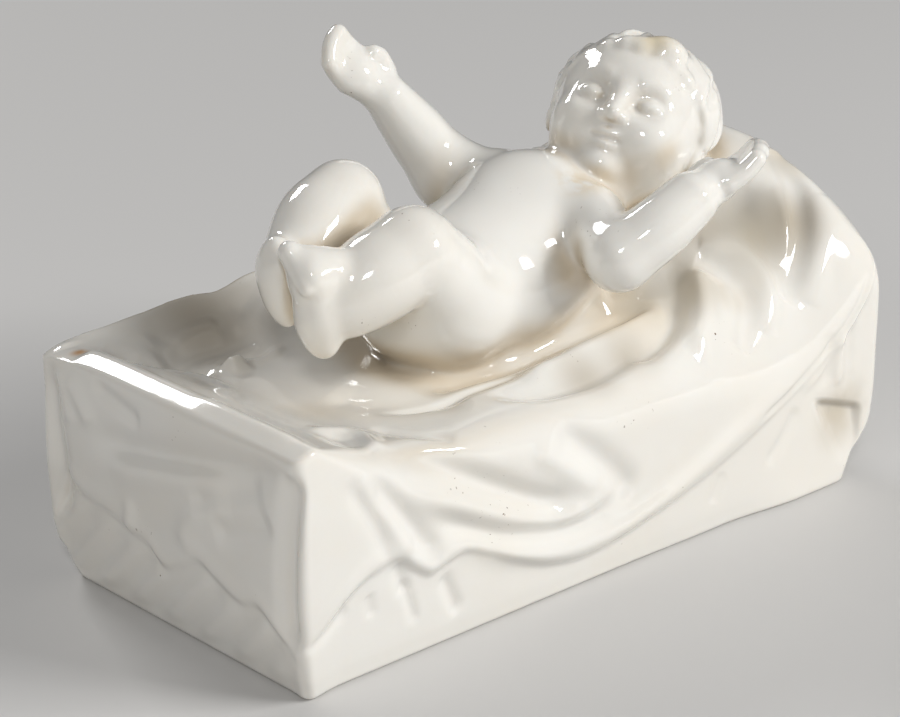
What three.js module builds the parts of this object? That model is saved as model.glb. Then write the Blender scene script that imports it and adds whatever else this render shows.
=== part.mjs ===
// A glazed porcelain crib figure: a swaddled-bed base with a draped cloth and a child lying on it.
// Millimetres, +Z up, head toward +X. The origin is the middle of the underside.
import * as THREE from "three";

const STEP = 0.72; // lattice the clay is modelled on
const TRIANGLES = 8800; // facets left on the finished piece
const FAR = 50;

// the bed
const FOOT_X = -63.7;
const HEAD_X = 65.0;
const MIDDLE_X = 0.6; // where the finished piece has its middle
const HALF_WIDTH = 31.2;
const HEAD_CORNER = 3.2;
const CLOTH = 0.9; // thickness of the cloth over the mattress

const add = (a, b) => a.map((v, i) => v + b[i]);
const sub = (a, b) => a.map((v, i) => v - b[i]);
const mul = (a, k) => a.map((v) => v * k);
const dot = (a, b) => a[0] * b[0] + a[1] * b[1] + a[2] * b[2];
const unit = (a) => mul(a, 1 / Math.hypot(...a));
const cross = (a, b) => [
  a[1] * b[2] - a[2] * b[1],
  a[2] * b[0] - a[0] * b[2],
  a[0] * b[1] - a[1] * b[0],
];
const square = (a, b) => unit(sub(a, mul(b, dot(a, b)))); // a made square to the unit vector b
const clamp = (t, low, high) => Math.min(high, Math.max(low, t));
const softStep = (t) => {
  const s = clamp(t, 0, 1);
  return s * s * (3 - 2 * s);
};

function smoothMin(a, b, k) {
  const h = Math.max(k - Math.abs(a - b), 0);
  return Math.min(a, b) - (h * h) / (4 * k);
}
const smoothMax = (a, b, k) => -smoothMin(-a, -b, k);

// a smooth line through [x, value] knots, level beyond its ends
function profile(...knots) {
  const last = knots.length - 1;
  const slope = knots.map((k, i) => {
    if (i === 0 || i === last) return 0;
    const [w0, w1] = [k[0] - knots[i - 1][0], knots[i + 1][0] - k[0]];
    const [s0, s1] = [(k[1] - knots[i - 1][1]) / w0, (knots[i + 1][1] - k[1]) / w1];
    return (s0 * w1 + s1 * w0) / (w0 + w1);
  });
  return (x) => {
    const at = clamp(x, knots[0][0], knots[last][0]);
    let i = 0;
    while (i < last - 1 && knots[i + 1][0] < at) i += 1;
    const [a, b] = [knots[i], knots[i + 1]];
    const w = b[0] - a[0];
    const t = (at - a[0]) / w;
    const rise = a[1] * (1 + 2 * t) * (1 - t) ** 2 + slope[i] * w * t * (1 - t) ** 2;
    return rise + b[1] * t * t * (3 - 2 * t) + slope[i + 1] * w * t * t * (t - 1);
  };
}

// a smooth path through points of any size
function curve(points, perSpan = 5) {
  if (points.length === 2) return points;
  const n = points.length - 1;
  const all = [sub(mul(points[0], 2), points[1]), ...points, sub(mul(points[n], 2), points[n - 1])];
  const out = [];
  for (let i = 1; i < all.length - 2; i += 1) {
    const [a, b, c, d] = all.slice(i - 1, i + 3);
    for (let s = 0; s < perSpan; s += 1) {
      const t = s / perSpan;
      out.push(b.map((_, m) => 0.5 * (2 * b[m] + (c[m] - a[m]) * t
        + (2 * a[m] - 5 * b[m] + 4 * c[m] - d[m]) * t * t
        + (3 * b[m] - a[m] - 3 * c[m] + d[m]) * t ** 3)));
    }
  }
  out.push(points[n]);
  return out;
}

// Forms: distance to a surface, with the box that holds it.
function ellipsoid(centre, radii, along = [1, 0, 0], across = [0, 1, 0]) {
  const a = unit(along);
  const b = square(across, a);
  const axes = [a, b, cross(a, b)];
  const reach = [0, 1, 2].map((i) => Math.hypot(...axes.map((axis, m) => axis[i] * radii[m])));
  return {
    low: sub(centre, reach),
    high: add(centre, reach),
    distance(x, y, z) {
      const [dx, dy, dz] = [x - centre[0], y - centre[1], z - centre[2]];
      let [k0, k1] = [0, 0];
      for (let m = 0; m < 3; m += 1) {
        const q = (dx * axes[m][0] + dy * axes[m][1] + dz * axes[m][2]) / radii[m];
        k0 += q * q;
        k1 += (q / radii[m]) ** 2;
      }
      k0 = Math.sqrt(k0);
      return (k0 * (k0 - 1)) / Math.max(Math.sqrt(k1), 1e-6);
    },
  };
}

// a rounded tube along a smooth curve through [x, y, z, radius] nodes
function limb(...nodes) {
  const path = curve(nodes, 4);
  return {
    low: [0, 1, 2].map((i) => Math.min(...path.map((p) => p[i] - p[3]))),
    high: [0, 1, 2].map((i) => Math.max(...path.map((p) => p[i] + p[3]))),
    distance(x, y, z) {
      let best = Infinity;
      for (let i = 0; i + 1 < path.length; i += 1) {
        const [p, q] = [path[i], path[i + 1]];
        const [dx, dy, dz] = [q[0] - p[0], q[1] - p[1], q[2] - p[2]];
        const [ax, ay, az] = [x - p[0], y - p[1], z - p[2]];
        const t = clamp((ax * dx + ay * dy + az * dz) / (dx * dx + dy * dy + dz * dz), 0, 1);
        const near = Math.sqrt((ax - dx * t) ** 2 + (ay - dy * t) ** 2 + (az - dz * t) ** 2);
        best = Math.min(best, near - p[3] - (q[3] - p[3]) * t);
      }
      return best;
    },
  };
}

// the form without what lies beyond a plane
function cutBy(form, point, normal, blend) {
  const n = unit(normal);
  const c = dot(n, point);
  return {
    ...form,
    distance: (x, y, z) => smoothMax(form.distance(x, y, z), dot(n, [x, y, z]) - c, blend),
  };
}

class Clay {
  constructor(low, high) {
    this.low = low;
    this.size = low.map((v, i) => Math.ceil((high[i] - v) / STEP) + 1);
    this.field = new Float32Array(this.size[0] * this.size[1] * this.size[2]).fill(FAR);
  }

  part(low, high) {
    return new Clay(low.map((v, i) => this.low[i] + Math.round((v - this.low[i]) / STEP) * STEP), high);
  }

  // calls change(x, y, z, value) for every lattice point of a box
  each(low, high, change) {
    const first = low.map((v, i) => clamp(Math.floor((v - this.low[i]) / STEP), 0, this.size[i]));
    const end = high.map((v, i) => clamp(Math.ceil((v - this.low[i]) / STEP) + 1, 0, this.size[i]));
    for (let i = first[0]; i < end[0]; i += 1) {
      for (let j = first[1]; j < end[1]; j += 1) {
        for (let k = first[2]; k < end[2]; k += 1) {
          const at = (i * this.size[1] + j) * this.size[2] + k;
          const [x, y, z] = [this.low[0] + i * STEP, this.low[1] + j * STEP, this.low[2] + k * STEP];
          this.field[at] = change(x, y, z, this.field[at]);
        }
      }
    }
  }

  add(form, blend) {
    const reach = [blend + 2, blend + 2, blend + 2];
    this.each(sub(form.low, reach), add(form.high, reach), (x, y, z, value) => (
      smoothMin(value, form.distance(x, y, z), blend)));
  }

  carve(form, blend) {
    const reach = [blend + 2, blend + 2, blend + 2];
    this.each(sub(form.low, reach), add(form.high, reach), (x, y, z, value) => (
      smoothMax(value, -form.distance(x, y, z), blend)));
  }

  // raises (height above 0) or sinks a soft stroke along a smooth curve
  press(points, width, height) {
    const path = curve(points);
    const reach = [width * 3, width * 3, width * 3];
    const low = [0, 1, 2].map((i) => Math.min(...path.map((p) => p[i])));
    const high = [0, 1, 2].map((i) => Math.max(...path.map((p) => p[i])));
    this.each(sub(low, reach), add(high, reach), (x, y, z, value) => {
      const [near, along] = nearest(path, x, y, z);
      const fade = Math.sqrt(clamp(4 * along * (1 - along), 0, 1));
      return value - height * fade * Math.exp(-near / width ** 2);
    });
  }

  join(part, blend) {
    const shift = part.low.map((v, i) => Math.round((v - this.low[i]) / STEP));
    const high = add(part.low, mul(part.size, STEP));
    this.each(part.low, high, (x, y, z, value) => {
      const [i, j, k] = [x, y, z].map((v, m) => Math.round((v - this.low[m]) / STEP) - shift[m]);
      if (i >= part.size[0] || j >= part.size[1] || k >= part.size[2]) return value;
      return smoothMin(value, part.field[(i * part.size[1] + j) * part.size[2] + k], blend);
    });
  }
}

// square of the distance to a path, and how far along it the nearest point lies (0 to 1)
function nearest(path, x, y, z = 0) {
  let [best, along] = [Infinity, 0];
  for (let i = 0; i + 1 < path.length; i += 1) {
    const [p, q] = [path[i], path[i + 1]];
    const [dx, dy, dz] = [q[0] - p[0], q[1] - p[1], (q[2] ?? 0) - (p[2] ?? 0)];
    const [ax, ay, az] = [x - p[0], y - p[1], z - (p[2] ?? 0)];
    const t = clamp((ax * dx + ay * dy + az * dz) / (dx * dx + dy * dy + dz * dz), 0, 1);
    const near = (ax - dx * t) ** 2 + (ay - dy * t) ** 2 + (az - dz * t) ** 2;
    if (near < best) [best, along] = [near, (i + t) / (path.length - 1)];
  }
  return [best, along];
}

// Height of the cloth along the near rim, the middle and the far rim, by x.
const nearRim = profile(
  [-67, 37.3], [-63.4, 38.7], [-62.4, 39.1], [-61.4, 39.5], [-60.6, 39.8], [-60.1, 39.9],
  [-59.4, 39.8], [-57.5, 39], [-53, 37.4], [-46, 35.7], [-40, 34.6], [-20, 33.6], [0, 32.2],
  [12, 31.6], [22, 30.4], [30, 28.8], [38, 28.2], [46, 30], [52, 34.4], [57, 38.4], [64, 39],
);
const middle = profile(
  [-67, 37.5], [-63.4, 38.9], [-62.4, 39.3], [-61.4, 39.7], [-60.6, 40], [-60.1, 40.1],
  [-59.4, 39.9], [-57.5, 39], [-53, 37.2], [-49, 35.4], [-44, 33.6], [-38, 32.6], [-25, 33.2],
  [-10, 34.0], [5, 36.5], [18, 41.5], [30, 48.5], [40, 53.5], [50, 56.6], [57, 56.8], [61, 54.9],
  [65, 50.8],
);
const farRim = profile(
  [-67, 35.6], [-63.4, 37.2], [-60.5, 38.2], [-57, 38.9], [-52, 40.5], [-45, 44.4], [-39, 45.8],
  [-34, 45.8], [-30, 45], [-24, 46], [-12, 44.8], [0, 44.5], [25, 47.5], [45, 50.6], [55, 50],
  [64, 44],
);
// how far each wall draws in, by z
const footIn = profile([0, 2.2], [4, 1.3], [10, 0.4], [18, 0.0], [40, 0.0]);
const headIn = profile(
  [0, 6.8], [2.6, 6.0], [4.2, 5.1], [6.4, 3.4], [9.1, 1.4], [12.8, 0.6], [17, 0.3], [22, 0.3],
  [34, 0.4], [45, 1.6], [57, 5.0],
);
const sideIn = profile([0, 1.6], [4, 0.9], [12, 0.2], [24, 0.0], [50, 0.8]);
// lower edge of the cloth on the four walls
const nearHem = profile(
  [-63, 8.0], [-60.2, 10.7], [-56.4, 13.9], [-52, 16.7], [-48, 17.9], [-44.9, 18.2], [-41.5, 15.8],
  [-38.4, 13.9], [-35, 14.6], [-31.6, 15.3], [-27.5, 13.9], [-21.2, 10.7], [-14.2, 7.6], [-7, 6.1],
  [0.5, 6.6], [8, 8.2], [15.5, 9.9], [23.4, 12.3], [31.2, 15.3], [39.1, 18.9], [46.4, 22.4],
  [55.3, 28.2], [60, 33.5], [64, 38],
);
const farHem = profile(
  [-63, 7], [-57, 12], [-48, 13], [-34, 17], [-18, 10], [2, 14], [22, 8], [40, 15], [64, 22],
);
const footHem = profile(
  [-31, 6.5], [-29, 7.8], [-25, 10.8], [-21.3, 13.2], [-17.1, 12.5], [-10.9, 14.5], [-7.8, 15.7],
  [-2.9, 13.4], [1.6, 12.0], [4.4, 13.9], [9.4, 15.1], [15.1, 16.5], [20.3, 16.9], [23.9, 18.1],
  [26, 18.5], [28.4, 13], [31, 7],
);
const headHem = profile([-31, 33], [-20, 22], [-6, 14], [8, 19], [20, 13], [31, 22]);
// folds: [the line each follows, half width, height above the cloth (below it where negative)]
const TOP_FOLDS = [
  [[[-8, -11.5], [0, -10.5], [6, -10.6], [12.3, -13], [16, -14.2]], 1.6, 2.2],
  [[[-24, -12.5], [-15.8, -12.5], [-7.3, -14], [1.7, -14.6], [10.6, -16.4], [19, -17.5],
    [25, -17.5]], 2.4, -2.0],
  [[[-33, -13.4], [-25.5, -17.1], [-16.2, -17.5], [-5.4, -17.8], [2.5, -18.5]], 1.0, -0.7],
  [[[-10, -20], [-2, -19.6], [8.6, -20], [16, -20.4], [23.4, -19.4]], 1.8, 1.2],
  [[[-17.6, -20.6], [-11.5, -24], [-2.3, -25.2], [5.2, -24.6], [12, -23.6], [19, -22.6],
    [25, -19.8], [27.5, -15]], 2.2, -1.7],
  [[[20, -29], [25.3, -26.5], [28, -23.1], [29.6, -19]], 2.2, 1.7],
  [[[9, -24.6], [17, -23.4], [22.4, -20.4], [24.4, -15.6]], 3.2, -1.6],
  [[[44.3, -22.5], [44.4, -16.5]], 4.2, -2.0],
  [[[-51, -19.4], [-46.6, -16.8], [-43, -17.2], [-42.4, -20.6], [-44.6, -25.4], [-48, -29]], 1.6, 0.6],
  [[[-47.8, -21], [-48.8, -24]], 2.6, -0.7],
  [[[-38.6, -17.5], [-35.6, -24.5], [-31, -28.5]], 1.4, -0.6],
  [[[-59.8, -3], [-59.8, -14], [-59.6, -27]], 2.0, 0.3],
  [[[-60.4, 22], [-59.8, 29]], 2.0, -0.6],
  [[[-57, 24], [-53.5, 19.5], [-49.5, 17.8], [-45, 17], [-43, 13.5]], 2.6, -1.8],
  [[[-52.8, 14], [-48.7, 13.7], [-46.3, 12.2], [-46, 9], [-46.6, 5.8]], 1.6, 0.5],
  [[[-38.9, 14.5], [-37.6, 14.8]], 1.6, 2.3],
  [[[-37, 16.4], [-33.8, 14.9], [-31, 15], [-27.4, 16.4]], 1.0, 0.5],
  [[[-47.6, 24.8], [-41.6, 26.4], [-34.4, 27], [-28.3, 26.2]], 2.0, -0.9],
  [[[-49.1, 20], [-43, 20.6], [-35, 21.4], [-27.1, 22]], 2.8, -1.4],
  [[[-43.8, 23.4], [-38.1, 24.4], [-33.2, 24.4]], 1.7, 0.5],
  [[[-28, 25.8], [-24, 26.6]], 1.6, -1.0],
  [[[-33, -2], [-29, -12], [-20, -20]], 4.0, -0.8],
  [[[-20, 24], [0, 22], [20, 20]], 4.0, -1.4],
  [[[44, 22], [52, 12], [50, -2]], 5.0, 0.6],
  [[[38, 27], [48, 22], [56, 12]], 2.5, -1.6],
];
const NEAR_FOLDS = [
  [[[-54.7, 33.6], [-49.2, 25], [-46.8, 17.9]], 1.5, -0.5],
  [[[-52, 33], [-46.2, 25], [-42, 18.5]], 1.6, 0.6],
  [[[-50.5, 33], [-42.9, 23.5], [-36.4, 16.1]], 2.0, -1.1],
  [[[-45.3, 33.1], [-35, 29.2], [-24.9, 23.4], [-16.5, 18.7], [-8.5, 15.6]], 2.4, -1.8],
  [[[-43, 28.4], [-33, 23.6], [-22, 18.4], [-11, 14.6], [0, 14.2]], 1.9, 0.8],
  [[[-39.6, 23.6], [-33, 19.9], [-24.8, 15.7], [-17.9, 13.8], [-10.6, 12.4], [-3.4, 13],
    [3, 15]], 1.8, -1.0],
  [[[-34, 17.4], [-24, 12.4], [-14, 9.6], [-4, 8.8], [6, 10], [18, 13.6], [30, 18.4], [42, 24]], 1.8, 0.6],
  [[[-13.1, 30.2], [-5.9, 24.4], [0.2, 18.7], [4.5, 13.5]], 2.4, -1.1],
  [[[-18, 28], [-11, 22.6], [-3.5, 16.6]], 1.9, 0.6],
  [[[62, 38.5], [54.5, 29.4], [41.4, 21.2], [33, 18]], 0.8, -0.5],
  [[[62, 36], [51.7, 24.6], [44, 19.6]], 0.9, 0.3],
  [[[-62.6, 8.9], [-58, 11.2], [-53.9, 13.7]], 0.9, -0.4],
  [[[-44.9, 17.4], [-43, 11.8]], 1.2, -0.5],
  [[[-43.5, 14.5], [-40.4, 6]], 1.0, -0.4],
  [[[-50.1, 14.2], [-49.4, 10.2]], 1.0, -0.35],
  [[[-35.6, 12.6], [-31.6, 4.6]], 1.3, -0.6],
  [[[23.8, 5.6], [25.9, 11]], 1.2, -0.25],
  [[[36.5, 8.9], [40.5, 13], [43.5, 17.6]], 1.4, -0.4],
  [[[50.4, 29], [50.8, 19]], 1.5, -0.3],
  [[[53.4, 28], [53.6, 18.4]], 1.2, 0.4],
  [[[56, 29], [56.2, 17.4]], 1.4, -0.3],
];
const FAR_FOLDS = [
  [[[-50, 36], [-38, 26], [-30, 20]], 2.4, -1.0],
  [[[-30, 38], [-14, 26], [2, 19]], 2.6, -1.2],
  [[[-6, 40], [8, 26], [22, 14]], 2.6, 0.9],
  [[[14, 40], [28, 28], [40, 19]], 2.6, -1.2],
  [[[34, 42], [44, 32], [56, 26]], 2.4, 0.8],
];
const FOOT_FOLDS = [
  [[[27.4, 37.8], [28.1, 30.7], [27.4, 25.1], [26.6, 20.2], [27.3, 15.8], [28.7, 11]], 2.2, -1.2],
  [[[26.2, 36.5], [24.5, 32.6], [22.8, 28.1]], 1.5, 0.4],
  [[[23.6, 36.3], [20.1, 32.6], [17.7, 29.7]], 1.8, 0.5],
  [[[17.4, 36.8], [12.4, 35.7], [8.5, 34.7], [5.1, 33.8]], 1.5, -0.5],
  [[[18.2, 27.4], [8.4, 29], [-0.3, 30.5], [-9.9, 32.3], [-20.3, 34.4], [-28.8, 36.4]], 2.4, -0.9],
  [[[13.8, 23.5], [-1.3, 27.5], [-16.8, 31]], 2.4, 0.4],
  [[[-6.7, 24.9], [-12, 27.7], [-17.9, 30.4], [-23.4, 32.5]], 2.1, -0.7],
  [[[-4.5, 16.1], [-5.4, 20.2], [-7.8, 23.2], [-11.7, 26], [-15.9, 27.7]], 2.2, 0.6],
  [[[-11.5, 22.4], [-16.4, 23.5], [-21.3, 25.8], [-25.2, 28.6]], 2.2, -0.6],
  [[[-29.2, 37], [-29.2, 33], [-28.6, 26], [-28.1, 19.5], [-28, 14], [-29, 8]], 1.7, -1.9],
  [[[8.7, 18.6], [8.9, 16.8]], 1.5, 0.5],
];
const HEAD_FOLDS = [
  [[[-22, 46], [-20, 34], [-14, 24]], 2.4, -1.0],
  [[[-4, 50], [-6, 36], [2, 22]], 2.6, 0.9],
  [[[12, 48], [10, 34], [18, 20]], 2.6, -1.1],
];
// folds over the pillow by the left arm, as lines on the cloth
const PILLOW_FOLDS = [
  [[[31, -18.5, 43.5], [33.5, -21.5, 41.5], [35, -24, 39.5], [35.5, -26, 36.5], [33, -28, 33],
    [30.5, -29, 30.5]], 2, -1.8],
  [[[33, -17, 45], [38.5, -21, 43.5], [41, -24, 40], [40.5, -26.5, 36], [37.5, -29, 31.5]], 2, 1.3],
  [[[50.5, -17, 50.5], [50, -20.5, 47], [47.5, -24, 42], [44, -26, 38.5]], 1.3, 0.6],
  [[[56, -12, 54.5], [55, -16, 52.5], [54, -19.5, 49], [50.5, -23.5, 44], [47, -25.5, 39.5],
    [43, -27.5, 35.5]], 2.2, -2],
  [[[57, -20.5, 48.5], [54.5, -24.5, 43.5], [51, -27, 38.5], [47.5, -28.5, 34]], 2, 1],
];

function relief(a, b, folds) {
  let total = 0;
  for (const [path, width, height] of folds) {
    const [near, along] = nearest(path, a, b);
    if (near < 9 * width * width) {
      const long = Math.hypot(...sub(path[path.length - 1], path[0])) > 3 * width;
      const fade = long ? softStep(Math.min(along, 1 - along) / 0.22 + 0.15) : 1;
      total += height * fade * Math.exp(-near / width ** 2);
    }
  }
  return total;
}

// the cloth stands proud of the mattress above its hem, with a slightly rolled edge
function hemStep(along, z, hem) {
  const above = z - hem(along);
  const roll = 0.3 * Math.exp(-(((above - 1.8) / 1.5) ** 2));
  return CLOTH * (softStep(above / 2.2 + 0.5) - 1) + roll;
}

// slanting folds of the mattress cover below the cloth on the foot wall
function gathers(y, z) {
  const shown = softStep((footHem(y) - z) / 4) * softStep(z / 4) * softStep((y + 30) / 10);
  return -0.3 * Math.cos((2 * Math.PI * (y + z)) / 8.35) * shown;
}

// the sunk fold in the near wall by the head end, deepest under its upper edge
function notch(x, z) {
  const under = softStep((18.5 - 0.35 * (x - 46.6) - z) / 1.5);
  const beside = softStep((x - 46.2 - 0.5 * (18.5 - z)) / 3.5) * softStep((60.2 - x) / 1.4);
  return -1.6 * under * beside * clamp((z - 3.5) / 12, 0, 1);
}

function makeBed(clay) {
  const smooth = (folds) => folds.map(([points, width, height]) => [curve(points), width, height]);
  const top = smooth(TOP_FOLDS);
  const topHeight = (x, y) => {
    const flat = y > 0 ? 2.6 * (1 - softStep((x + 34) / 24)) : 0; // the hollow at the foot is flatter
    const w = clamp(Math.abs(y) / HALF_WIDTH, 0, 1.1) ** (2.4 + flat);
    return middle(x) * (1 - w) + (y < 0 ? nearRim : farRim)(x) * w + relief(x, y, top);
  };
  // the hems die out toward the corners, where the cloth hangs smooth
  const wall = (size, drawnIn, hem, strength, folds) => {
    const lines = smooth(folds);
    return (along, z) => size - drawnIn(z, along) + hemStep(along, z, hem) * strength(along)
      + relief(along, z, lines);
  };
  const nearIn = (z, x) => sideIn(z) * (1 - softStep((x - 28) / 18)) - notch(x, z);
  const nearEdge = (x) => softStep((x + 62) / 8) * softStep((66 - x) / 8)
    * (1 - 0.4 * softStep((x - 5) / 20));
  const footEdge = (y) => 0.6 * softStep((y + 31) / 6) * softStep((31 - y) / 4);
  const near = wall(HALF_WIDTH, nearIn, nearHem, nearEdge, NEAR_FOLDS);
  const far = wall(HALF_WIDTH, sideIn, farHem, (x) => softStep((x + 62) / 8), FAR_FOLDS);
  const footDrawn = (z, y) => footIn(z) - gathers(y, z);
  const foot = wall(-FOOT_X, footDrawn, footHem, footEdge, FOOT_FOLDS);
  const head = wall(HEAD_X, headIn, headHem, (y) => softStep((y + 31) / 8), HEAD_FOLDS);
  const kept = new Map(); // each profile is worked out once per lattice line
  const once = (name, form, a, b) => {
    const key = `${name} ${a.toFixed(2)} ${b.toFixed(2)}`;
    if (!kept.has(key)) kept.set(key, form(a, b));
    return kept.get(key);
  };
  clay.each(clay.low, add(clay.low, mul(clay.size, STEP)), (x, y, z) => {
    const footCorner = y < 0 ? 2 : 1.4 + 2.4 * softStep((9 - z) / 9); // rounder low on the far side
    const r = x < 0 ? footCorner : HEAD_CORNER;
    const endX = x < 0 ? once("foot", foot, y, z) : once("head", head, y, z);
    const sideY = y < 0 ? once("near", near, x, z) : once("far", far, x, z);
    const qx = Math.abs(x) - endX + r;
    const qy = Math.abs(y) - sideY + r;
    const side = Math.hypot(Math.max(qx, 0), Math.max(qy, 0)) + Math.min(Math.max(qx, qy), 0) - r;
    const crisp = 1.2 * softStep((y - 18) / 8) * softStep((-42 - x) / 10);
    const soft = 1 + 5 * softStep((x + 60.5) / 17) - crisp;
    const body = smoothMax(side, (z - once("top", topHeight, x, y)) * 0.85, soft);
    return smoothMax(body, -z, 1.2);
  });
  for (const [points, width, height] of PILLOW_FOLDS) clay.press(points, width, height);
}

// The child.
const HEAD = [34.0, 0.2, 61.9]; // middle of the head
const LOOK = unit([-0.66, -0.46, 0.56]);
const CROWN = square([0.55, 0.1, 0.83], LOOK);
const LEFT = cross(CROWN, LOOK); // toward the child's left cheek
const SPINE = [0.86, 0, 0.5];
const CHEST = [0.97, 0, 0.22];

// a point of the head: forward along the gaze, up toward the crown, and toward the left cheek
const at = (f, u, s) => add(HEAD, add(mul(LOOK, f), add(mul(CROWN, u), mul(LEFT, s))));
const egg = (f, u, s, rf, ru, rs) => ellipsoid(at(f, u, s), [rf, rs, ru], LOOK, LEFT);

// fingers lie side by side across the palm; the thumb rests against it
function hand(body, palm, fingersTo, across, palmOut, lengths, curl, together, thick) {
  const f = unit(fingersTo);
  const r = square(across, f);
  const n = unit(sub(sub(palmOut, mul(f, dot(palmOut, f))), mul(r, dot(palmOut, r))));
  const from = (origin, a, b, c) => add(origin, add(mul(f, a), add(mul(r, b), mul(n, c))));
  body.add(ellipsoid(palm, [4.8, 3.9, 3.0 * thick], f, r), 2.0);
  lengths.forEach((long, i) => {
    const base = from(palm, 2.4 - 0.25 * i, -2.7 + 1.8 * i, -0.4);
    const knuckle = from(base, long * 0.55, 0, 0.2 * curl);
    const tip = from(base, long, 0, 2.2 * curl);
    body.add(limb([...base, 1.6 * thick], [...knuckle, 1.5 * thick], [...tip, 1.35 * thick]), together);
  });
  const thumb = from(palm, -2.6, -3.4, 0.8);
  body.add(limb([...thumb, 2.0], [...from(thumb, 2.4, -0.7, 0.7), 1.6],
    [...from(thumb, 3.8, -0.3, 1.1), 1.3]), 1.2);
}

function foot(body, heel, ball, outward, bigToe, littleToe) {
  const d = unit(sub(ball, heel));
  const onward = (k) => add(heel, mul(d, k));
  body.add(limb([...onward(2.8), 3.2], [...heel, 2.5], [...onward(-1.6), 1.4]), 1.5);
  body.add(ellipsoid(mul(add(heel, ball), 0.5), [7.4, 3.6, 2.9], d, outward), 2.2);
  body.add(ellipsoid(ball, [3.2, 3.8, 2.6], d, outward), 1.8);
  [1.8, 1.35, 1.25, 1.15, 1.0].forEach((r, i) => {
    const toe = add(bigToe, mul(sub(littleToe, bigToe), i / 4));
    body.add(limb([...mul(add(toe, ball), 0.5), r], [...toe, r]), 0.8);
  });
}

function face(body) {
  body.add(egg(-0.4, 1.8, 0, 12.8, 12.2, 12.6), 3);
  body.add(egg(2.6, -5.4, 0, 9.3, 8.9, 10.9), 4);
  for (const s of [-1, 1]) body.add(egg(7.6, -4.9, 5.6 * s, 4.2, 4.0, 4.2), 3.5);
  body.add(egg(9.4, -11.2, 0, 2.7, 2.3, 3.1), 2);
  for (const s of [-1, 1]) {
    body.carve(egg(13.4, -0.2, 4.8 * s, 2.8, 2.0, 3.0), 2.2); // eye hollow, then the closed lid
    body.add(egg(9.8, -0.5, 4.7 * s, 2.1, 1.9, 2.5), 0.5);
    body.press([at(11.0, -0.7, 2.3 * s), at(12.0, -1.3, 4.4 * s), at(11.0, -0.9, 6.8 * s)], 0.45, -0.32);
    body.press([at(11.2, 1.0, 2.4 * s), at(11.9, 1.8, 4.6 * s), at(10.6, 1.1, 7.2 * s)], 0.5, -0.22);
    body.press([at(12.2, 3.0, 2.2 * s), at(12.0, 4.0, 4.8 * s), at(10.2, 3.0, 8.0 * s)], 1.2, 0.3);
  }
  body.add(limb([...at(11.2, 1.8, 0), 1.1], [...at(12.2, -1.0, 0), 1.2], [...at(13.2, -3.2, 0), 1.45]), 1.2);
  for (const s of [-1, 1]) body.add(egg(12.4, -3.7, 1.5 * s, 1.1, 0.95, 1.0), 0.6);
  body.add(egg(11.0, -6.4, 0, 1.6, 1.0, 2.6), 0.8);
  body.add(egg(10.9, -8.2, 0, 1.5, 0.95, 2.2), 0.8);
  const lips = [
    [11.3, -7.0, -2.9], [12.3, -7.4, -1.2], [12.4, -7.3, 0], [12.3, -7.4, 1.2], [11.3, -7.0, 2.9],
  ];
  body.press(lips.map((p) => at(...p)), 0.45, -0.5);
  body.press([at(12.4, -4.8, 0), at(12.6, -5.8, 0)], 0.5, -0.25);
  for (const s of [-1, 1]) {
    body.add(egg(-0.8, -2.4, 12.2 * s, 2.3, 3.3, 1.5), 0.8);
    const rim = [[0.6, -0.6, 13.4], [-1.0, 0.0, 13.9], [-1.9, -2.2, 13.9], [-0.6, -4.6, 13.3]];
    body.press(rim.map(([f, u, w]) => at(f, u, w * s)), 0.5, 0.3);
    body.press([at(0.2, -2.4, 13.6 * s), at(-0.8, -1.6, 13.8 * s)], 0.7, -0.6);
  }
}

// short hair: a cap cut off at the hairline, with locks combed outward from the whorl
function hair(body) {
  const [rf, ru, rs] = [13.2, 12.4, 13.9];
  const hairline = (f, u) => 0.777 * f - 0.63 * u;
  const cap = egg(-1.2, 2.3, 0.3, rf, ru, rs);
  body.add(cutBy(cap, at(9.2, 8.4, 0), sub(mul(LOOK, 0.777), mul(CROWN, 0.63)), 1.0), 0.6);
  const whorl = unit([-0.35, 0.94, 0]);
  const [e1, e2] = [[whorl[1], -whorl[0], 0], [0, 0, 1]];
  const locks = 26;
  for (let k = 0; k < locks; k += 1) {
    for (const [half, width, height] of [[0, 1.15, 0.55], [0.5, 0.8, -0.6]]) {
      const line = [];
      for (let j = 0; j < 6; j += 1) {
        const polar = ((14 + 19 * j) * Math.PI) / 180;
        const turn = (2 * Math.PI * (k + half)) / locks + 0.16 * Math.sin(1.4 * j + 1.9 * k) + 0.1 * j;
        const round = add(mul(e1, Math.cos(turn)), mul(e2, Math.sin(turn)));
        const d = add(mul(whorl, Math.cos(polar)), mul(round, Math.sin(polar)));
        const [f, u, s] = [d[0] * rf - 1.2, d[1] * ru + 2.3, d[2] * rs + 0.3];
        if (hairline(f, u) < 1.9) line.push(at(f, u, s));
      }
      if (line.length > 1) body.press(line, width, height);
    }
  }
  const curls = 11; // small curls along the hairline, then the forelock
  for (let k = 0; k < curls; k += 1) {
    const t = -1 + (2 * k) / (curls - 1);
    const u = 8.6 - 8.0 * t * t + 0.5 * Math.sin(5 * k);
    const f = Math.min((1.9 + 0.63 * u) / 0.777, 9.6);
    body.add(egg(f - 0.8, u + 0.6, 11.37 * Math.sin(1.25 * t), 1.7, 1.6, 1.6), 1.2);
  }
  body.add(egg(6.8, 10.6, 3.4, 3.4, 2.6, 3.6), 1.6);
  body.add(egg(8.4, 9.6, -0.4, 2.0, 1.9, 2.4), 1.2);
}

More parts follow.
